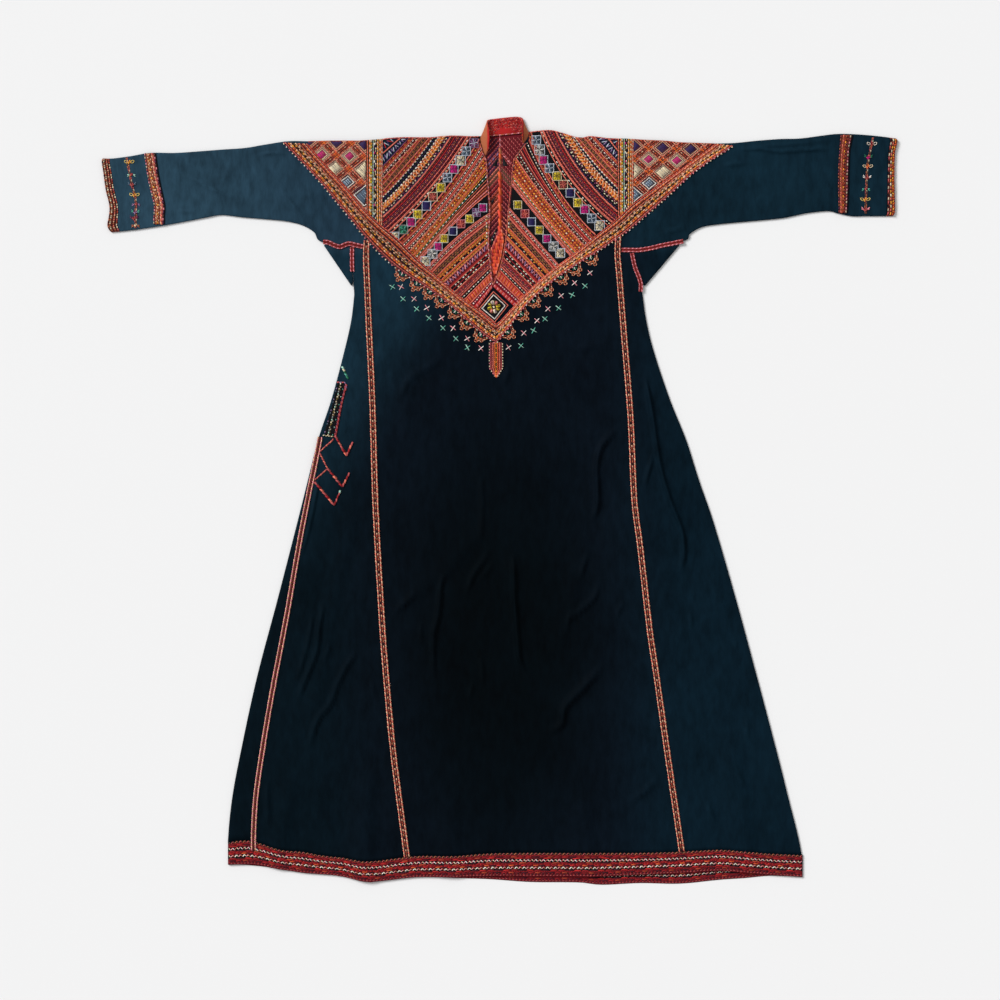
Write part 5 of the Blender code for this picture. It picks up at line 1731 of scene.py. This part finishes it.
class DRESS_OT_neck(Operator):
    """Lining of the back of the neck and the small standing collar"""
    bl_idname = "dress.neck"
    bl_label = "Neck"

    def execute(self, context):
        x = np.linspace(-62.0, 72.0, 71)
        rows = [stacked(x, mix(shoulder(x) - 3.0, 318.0, s), 2.45) for s in shares(111)]
        cloth("neck_lining", [np.array(rows)], ["back_neck_facing"], ["back_cloth"],
              None, self.chevron)
        self.ribs()
        table = along(COLLAR, 90)
        back = np.exp(-((table[:, 0] - 10.0) / 22.0) ** 2) * (table[:, 1] > 650.0)
        rows = []
        for s in (-0.14, 0.0, 0.12, 0.26, 0.4, 0.55, 0.7, 0.85, 1.0):
            x, y, z = mix(table[:, :3], table[:, 3:], s).T
            rows.append(stacked(x, y, np.maximum(z, COLLAR_LOWEST) + 0.8 * back * (s < 0.3)))
        cloth("neck_collar", [np.array(rows)], ["collar"],
              ["front_cloth", "back_cloth"], None, self.collar_tone, 1.2)
        self.collar_stitches(table)
        stitches = Threads(52, 0.4)
        for column, sense, dyes in ((1, 1.0, "rose,brown,pink"), (2, -1.0, "rose,salmon,brown")):
            y = np.linspace(642.0, SLIT_END, 80)
            edge = np.column_stack([curve(SLIT, column, y) - 0.4 * sense, y])
            stitches.cord(Line(edge), dyes, 1.7, 1.3)
            stitches.cord(Line(edge - (1.7 * sense, 0.0)), "garnet,wine", 1.3, 1.1)
        stitches.make("slit_piping")
        return {"FINISHED"}

    def ribs(self):
        """Stitched arrowheads of the lining, the cords down its middle and its tie."""
        ribs = Threads(51, 2.55, 0.34)
        for k in range(40):
            for below, part, width in ((0.0, 0, 2.0), (3.3, 1, 2.4)):
                peak = 716.0 - 9.6 * k - below
                for sense, side in ((-1.0, "left"), (1.0, "right")):
                    dye = next(names for foot, *names in NECK_RIBS[side] if peak > foot)[part]
                    x = SPINE + sense * 2.0
                    rib = Line([(x, peak), (x + sense * 62.0, peak - 70.0)])
                    ribs.dash(rib, dye, width, 5.0, 0.98)
        ribs.trim([(-46.0, 322.0), (54.0, 322.0), (56.0, 655.0), (-38.0, 651.0)])
        for side, dyes in ((-1.0, "mauve,rose"), (1.0, "rose,pink")):
            tie = Line([(SPINE + side * 3.0, 625.0), (SPINE + side * 21.0, 604.5)])
            ribs.cord(tie, dyes, 2.4, 0.25)
        for ax, ay, bx, by, cx, cy in read("""
-3.4 618 -14.5 603 -3.4 602; 5.6 618 17 603 5.6 602
-4 492 -14 473 -15 455; -5 548 -14 540 -14 532"""):
            ribs.span(Line([(ax, ay), (bx, by)]), Line([(ax, ay), (cx, cy)]), "black,coal",
                      2.6, 1.6, 0.2)
        ribs.dash(Line([(-6.5, 484.0), (-14.0, 466.0)]), "cream,mauve", 1.6, 5.0, 0.5, 0.5)
        for top, foot, dyes, width in read("""
656 634 rose,pink 2.6; 634 606 brown,flame 4.6; 606 592 rose 4
592 480 flame,scarlet 6.4"""):
            ribs.cord(Line([(SPINE, top), (SPINE, foot)]), dyes, width, 0.3)
        ribs.across(Line([(SPINE, 488.0), (-15.4, 450.0), (-15.2, 424.0), (-9.4, 408.0)]),
                    Line([(SPINE + 3.0, 488.0), (7.6, 468.0), (3.4, 440.0), (-6.0, 408.0)]),
                    SPINE_THREADS, 0.5)
        ribs.make("neck_lining_ribs", no_height)

    def chevron(self, point):
        """Colour of the lining, in arrowheads that point up along its middle."""
        x, y = point[:2]
        peak = y + abs(x - SPINE) * 1.13
        names = NECK_GROUND["left" if x < SPINE else "right"]
        return DYES[next(name for foot, name in names if peak > foot)]

    def collar_tone(self, point):
        """Colour of the collar: orange at its standing sides, red round the back."""
        x = point[0]
        side = max(ease((-20.4 - x) / 2.0), ease((x - 41.6) / 2.0))
        red = mix(DYES["red"], DYES["crimson"], mix(0.05, 0.7, ease((x - 6.0) / 30.0)))
        return mix(red, DYES["brown"], side)

    def collar_stitches(self, table):
        """Small mixed stitches all over the collar and a cord along its foot."""
        draw = np.random.default_rng(53)
        count = 1100
        k = draw.integers(0, len(table) - 1, count)
        s = draw.uniform(0.03, 0.97, count)
        a, b = (mix(table[n, :3].T, table[n, 3:].T, s) for n in (k, k + 1))
        (x, y, z), ways = (a + b) / 2, (b - a)[:2]
        ways = ways / np.maximum(np.linalg.norm(ways, axis=0), 1e-6)
        side = (x < -20.0) | (x > 40.5)
        stitches = Threads(54, 0.35, 0.5)
        for n in range(count):
            own = COLLAR_SIDE_DYES if side[n] else COLLAR_DYES
            stitches.one((x[n], y[n]), ways[:, n] * 1.5, 1.5, own[n % len(own)],
                         max(z[n], COLLAR_LOWEST))
        stitches.make("collar_stitches", no_height)
        foot = Threads(55, 0.0, 0.6)
        x = np.linspace(-27.0, 47.0, 60)
        foot.cord(path(x, shoulder(x) - 0.6), "rose,pink,brown", 1.8, 4.2)
        foot.make("collar_foot_cord", no_height)


class DRESS_OT_seam_lines(Operator):
    """Braided stitching along the seams of the body"""
    bl_idname = "dress.seam_lines"
    bl_label = "Seam Lines"

    def execute(self, context):
        for word, seam, top in (("left", seam_left, 468.0), ("right", seam_right, 477.0)):
            x, y = settle(np.linspace(top, HEM_REST, 120), 1, seam)
            self.braid("front_seam_line_" + word, np.column_stack([x - 0.7, y]), 10.4,
                       "front_seam_braid_" + word, BRAID_THREADS)
        x, y = settle(np.linspace(114.0, HEM_REST - 16.0, 90), 1,
                      lambda v: fold_left(v) + curve(SIDE_SEAM, 1, v) - ARC + ROLL)
        self.braid("side_seam_line", np.column_stack([x, y]), 9.5, "side_seam_braid", LINE_THREADS)
        for name, (width, points) in BRAIDS.items():
            self.braid(name.replace("braid", "line"), along(points, 36), width, name, PAIR_THREADS)
        return {"FINISHED"}

    def braid(self, name, points, width, node, threads):
        low, high = ribbon(points, width)
        strip(name + "_ground", low, high, (0.9, 1.15, 1.1, 1.15, 0.9), len(points), node,
              ["front_cloth"], "garnet,brick,brick,garnet")
        stitch_across(name + "_stitches", 61, 1.5, low, high, threads)


class DRESS_OT_motifs(Operator):
    """Small motifs under the chest, the diamond and the tab at its point"""
    bl_idname = "dress.motifs"
    bl_label = "Motifs"

    def execute(self, context):
        stitches = Threads(71, 0.5)
        for border, sense in ((LEFT_BORDER, 1.0), (RIGHT_BORDER, -1.0)):
            edge = Line(along(border, 90)[:, :2])
            spots, ways = edge.at(np.linspace(0.0, edge.length, 400))
            for x, y in TREFOILS:
                if (x < 0) == (sense > 0):
                    k = int(np.argmin(np.hypot(spots[:, 0] - x, spots[:, 1] - y)))
                    way = ways[k]
                    self.clover(stitches, spots[k], way, np.array([way[1], -way[0]]) * sense)
        draw = np.random.default_rng(74)
        for places, dyes in ((TEAL_CROSSES, "teal,mint"), (PINK_CROSSES, "white,pink")):
            for x, y in places:
                stitches.cross(x, y, 7.0, dyes, 1.2, draw.uniform(-0.25, 0.25), 0.1)
        stitches.make("chest_motifs")
        self.point()
        low = Line([(-18.6, 284.2), (-18.6, 238), (-7.0, 222)])
        high = Line([(6.0, 284.2), (6.6, 238), (-4.0, 222)])
        strip("point_tab", low, high, FLAT_STRIP, 21, "chest_tab", ["front_cloth"],
              "garnet")
        stitch_across("point_tab_stitches", 73, 1.4, low, high, TAB_THREADS)
        return {"FINISHED"}

    def point(self):
        """The diamond at the point of the neck opening, with a flower of eight petals."""
        low, high = Line([(-11.7, 376.6), (15.8, 350.9)]), Line([(-35.9, 346.3), (-8.4, 320.6)])
        strip("point_diamond", low, high, FLAT_STRIP, 21, "slit_diamond",
              ["front_cloth"], "black")
        stitches = Threads(72, 1.4)
        small = np.array([(-10.6, 371.0), (10.8, 350.8), (-8.8, 325.8), (-31.9, 345.4)])
        middle = small.mean(axis=0)
        stitches.loop(middle + (small - middle) * 1.22, "salmon", 1.3)
        stitches.loop(middle + (small - middle) * 0.97, "white", 1.4, 0.1)
        for k in range(8):
            a = k * math.pi / 4 + 0.3
            way = np.array([math.cos(a), math.sin(a)])
            petal = ("yellow", "brown", "cream", "olive")[k % 4]
            rib = ("olive", "pink", "mauve", "yellow")[k % 4]
            stitches.one(middle + way * 7.8, way * 4.2, 5.6, petal, 0.2)
            stitches.one(middle + way * 8.6, way * 2.8, 1.6, rib, 2.0)
        stitches.one(middle, (1.6, 0.0), 3.6, "cream", 0.8)
        stitches.make("point_diamond_stitches")

    def clover(self, stitches, foot, sideways, outward):
        """A scallop of corded thread with three rings, a flower and a leaf under the border."""
        def spot(u, n):
            return foot + sideways * u + outward * n

        for half, tall, dyes in ((14.6, 16.8, "brown,rust,peach"), (11.0, 12.6, "rust,umber")):
            arch = ((-half, 0.6), (-half * 0.62, tall * 0.56), (0.0, tall),
                    (half * 0.62, tall * 0.56), (half, 0.6))
            stitches.cord(Line([spot(u, n) for u, n in arch]), dyes, 1.5)
        for u, n in ((-7.4, 11.6), (0.0, 17.6), (7.4, 11.6)):
            stitches.ring(*spot(u, n), 2.7, "brown,rust,peach", 1.2, 0.3)
        for u, n, du, dn, dye in read("""
-3.4 9.8 2.2 1.8 peach; 3.4 9.8 -2.2 1.8 brown; 0 11.6 0.2 2.4 orange
-2.4 4.4 -1.8 2.4 green; 2.4 4.4 1.8 2.4 green; 0.2 4.4 0.2 3 white"""):
            stitches.one(spot(u, n), sideways * du + outward * dn, 1.5, dye, 0.3)


class DRESS_OT_cuffs(Operator):
    """Stitched edges of the sleeves with a band and a vine of flowers"""
    bl_idname = "dress.cuffs"
    bl_label = "Cuffs"

    def execute(self, context):
        for word, table, share in (("left", LEFT_SLEEVE, 0.77), ("right", RIGHT_SLEEVE, 0.5)):
            rows = sleeve_rows(table, 12, 0.0, 0.0, share)
            cloth("cuff_cloth_" + word, [rows], ["cuff_edge_" + word], ["floor"],
                  ["brick"] * (len(rows) - 1))
            pairs = along(CUFF_RIBBONS[word], 50)
            low, high = Line(pairs[:, :2]), Line(pairs[:, 2:])
            strip("cuff_ribbon_" + word, low, high, FLAT_STRIP, 50, "cuff_band_" + word,
                  ["sleeve_cloth_" + word],
                  "coal,brick,garnet,brick,garnet,brick,garnet,coal")
            stitch_across("cuff_ribbon_stitches_" + word, 81, 1.45, low, high,
                          CUFF_THREADS[word])
            stitches = Threads(82, 0.45)
            self.vine(stitches, *VINES[word])
            a, b = np.array(table[:2])
            for s, dyes, width, pitch in CUFF_EDGES[word]:
                at = mix(a, b, s * share)
                x, y = mix(at[:2] + (0, 1.5), at[2:] - (0, 1.5), shares(40)[:, None]).T
                stitches.dash(path(swung(x, y), y), dyes, width, pitch, 0.9, 0.2)
            stitches.make("cuff_stitches_" + word)
        return {"FINISHED"}

    def vine(self, stitches, stem, flowers):
        """The stem of a vine and its flowers."""
        points, shift = along(stem, 40), np.array([1.1, 0.0])
        stitches.dash(Line(points - shift), "brown,rose,umber", 1.6, 5.0, 1.05)
        stitches.dash(Line(points + shift), "rose,sand,umber,brown", 1.6, 4.4, 1.05)
        for kind, heart, dye, x, y in flowers:
            size = 2.8 if kind == "buds" else 4.2
            stitches.star(x, y, size, f"{heart},{heart},wine", 1.9, 6, 0.3)
            for sense in (-1.0, 1.0):
                if kind == "rings":
                    a = np.linspace(0.0, 2.0 * math.pi, 11)
                    u, v = 3.5 * np.cos(a), 2.1 * np.sin(a)
                    ring = path(x + sense * (5.6 + u * 0.9 - v * 0.4), y + 0.6 + v * 0.9 + u * 0.4)
                    stitches.cord(ring, dye + ",sand", 1.1, 0.3)
                    continue
                tall = 1.8 if kind == "petals" else -1.4
                for lean in (-0.6, 0.7):
                    stitches.one((x + sense * 5.4, y + tall + lean * 1.6),
                                 (sense * 2.2, tall * 0.8 + lean), 1.4, dye, 0.3)


class DRESS_OT_side_ornament(Operator):
    """Tall ornament on the left side of the body"""
    bl_idname = "dress.side_ornament"
    bl_label = "Side Ornament"

    def execute(self, context):
        low = Line([(-291, 214), (-303, 165), (-317, 116)])
        high = Line([(-275, 209), (-286, 162), (-294.5, 114)])
        strip("side_ornament", low, high, (1.0,) * 9, 21, "side_patch",
              ["side_front_cloth_left"], "black")
        stitch_across("side_ornament_stitches", 91, 1.3, low, high, ORNAMENT_THREADS)
        stitches = Threads(92, 0.5)
        for dyes, width, *points in ORNAMENT_LINES:
            lift = 0.9 if width < 2.0 else 0.4
            stitches.cord(Line(np.reshape(points, (-1, 2))), dyes, width, lift)
        stitches.make("side_ornament_lines")
        return {"FINISHED"}


LAMP_PLACE = (-1.5, 1.1, 1.4)


class DRESS_OT_stage(Operator):
    """Floor, lamps and camera"""
    bl_idname = "dress.stage"
    bl_label = "Stage"

    def execute(self, context):
        scene, look = context.scene, context.scene.dress_stage
        bm = bmesh.new()
        bmesh.ops.create_grid(bm, x_segments=2, y_segments=2, size=6.0)
        mesh = bpy.data.meshes.new("floor")
        bm.to_mesh(mesh)
        bm.free()
        paint = Paint("pale_floor", 0.75, 0.2)
        grain = paint.noise(paint.spot(), 3.0, 3.0)
        paint.feed("Base Color", paint.blend(grain * 0.12, full(look.floor),
                                             full([c * 0.97 for c in look.floor])))
        mesh.materials.append(paint.material)
        floor = bpy.data.objects.new("floor", mesh)
        scene.world = bpy.data.worlds.new("soft_light")
        scene.world.use_nodes = True
        sky = scene.world.node_tree.nodes["Background"].inputs
        sky["Color"].default_value = (1.0, 1.0, 1.0, 1.0)
        sky["Strength"].default_value = look.sky
        lamp = bpy.data.lights.new("key_lamp", "SUN")
        lamp.angle = math.radians(24.0)
        lamp.energy = look.key
        light = bpy.data.objects.new("key_lamp", lamp)
        light.location = LAMP_PLACE
        light.rotation_euler = (-Vector(LAMP_PLACE)).to_track_quat("-Z", "Y").to_euler()
        view = bpy.data.cameras.new("camera")
        view.lens = look.lens
        view.sensor_width = 36.0
        view.clip_end = 50.0
        camera = bpy.data.objects.new("camera", view)
        camera.location = (0.0009, 0.0015, look.distance)
        for obj in (floor, light, camera):
            scene.collection.objects.link(obj)
        scene.camera = camera
        scene.view_settings.view_transform = "Standard"
        return {"FINISHED"}


class DRESS_PT_pieces(Panel):
    """Lists the pieces of the dress"""
    bl_idname = "DRESS_PT_pieces"
    bl_label = "Dress"
    bl_space_type = "VIEW_3D"
    bl_region_type = "UI"
    bl_category = "Dress"

    def draw(self, context):
        for name in SETTINGS:
            settings = getattr(context.scene, name)
            for key in settings.bl_rna.properties.keys():
                if key not in ("rna_type", "name"):
                    self.layout.prop(settings, key)
        for step in STEPS:
            self.layout.operator(step.bl_idname)


SETTINGS = {"dress_cloth": ClothSettings, "dress_silk": SilkSettings, "dress_stage": StageSettings}
STEPS = (DRESS_OT_stage, DRESS_OT_middle_panels, DRESS_OT_side_panels, DRESS_OT_sleeves,
         DRESS_OT_hem, DRESS_OT_chest, DRESS_OT_border, DRESS_OT_wings, DRESS_OT_neck,
         DRESS_OT_seam_lines, DRESS_OT_motifs, DRESS_OT_cuffs, DRESS_OT_side_ornament)


def register():
    for group in (*SETTINGS.values(), *STEPS, DRESS_PT_pieces):
        bpy.utils.register_class(group)
    for name, group in SETTINGS.items():
        setattr(bpy.types.Scene, name, PointerProperty(type=group))


def unregister():
    for name in SETTINGS:
        delattr(bpy.types.Scene, name)
    for group in (DRESS_PT_pieces, *reversed(STEPS), *SETTINGS.values()):
        bpy.utils.unregister_class(group)


def main():
    register()
    for step in STEPS:
        space, name = step.bl_idname.split(".")
        getattr(getattr(bpy.ops, space), name)()


if __name__ == "__main__":
    main()
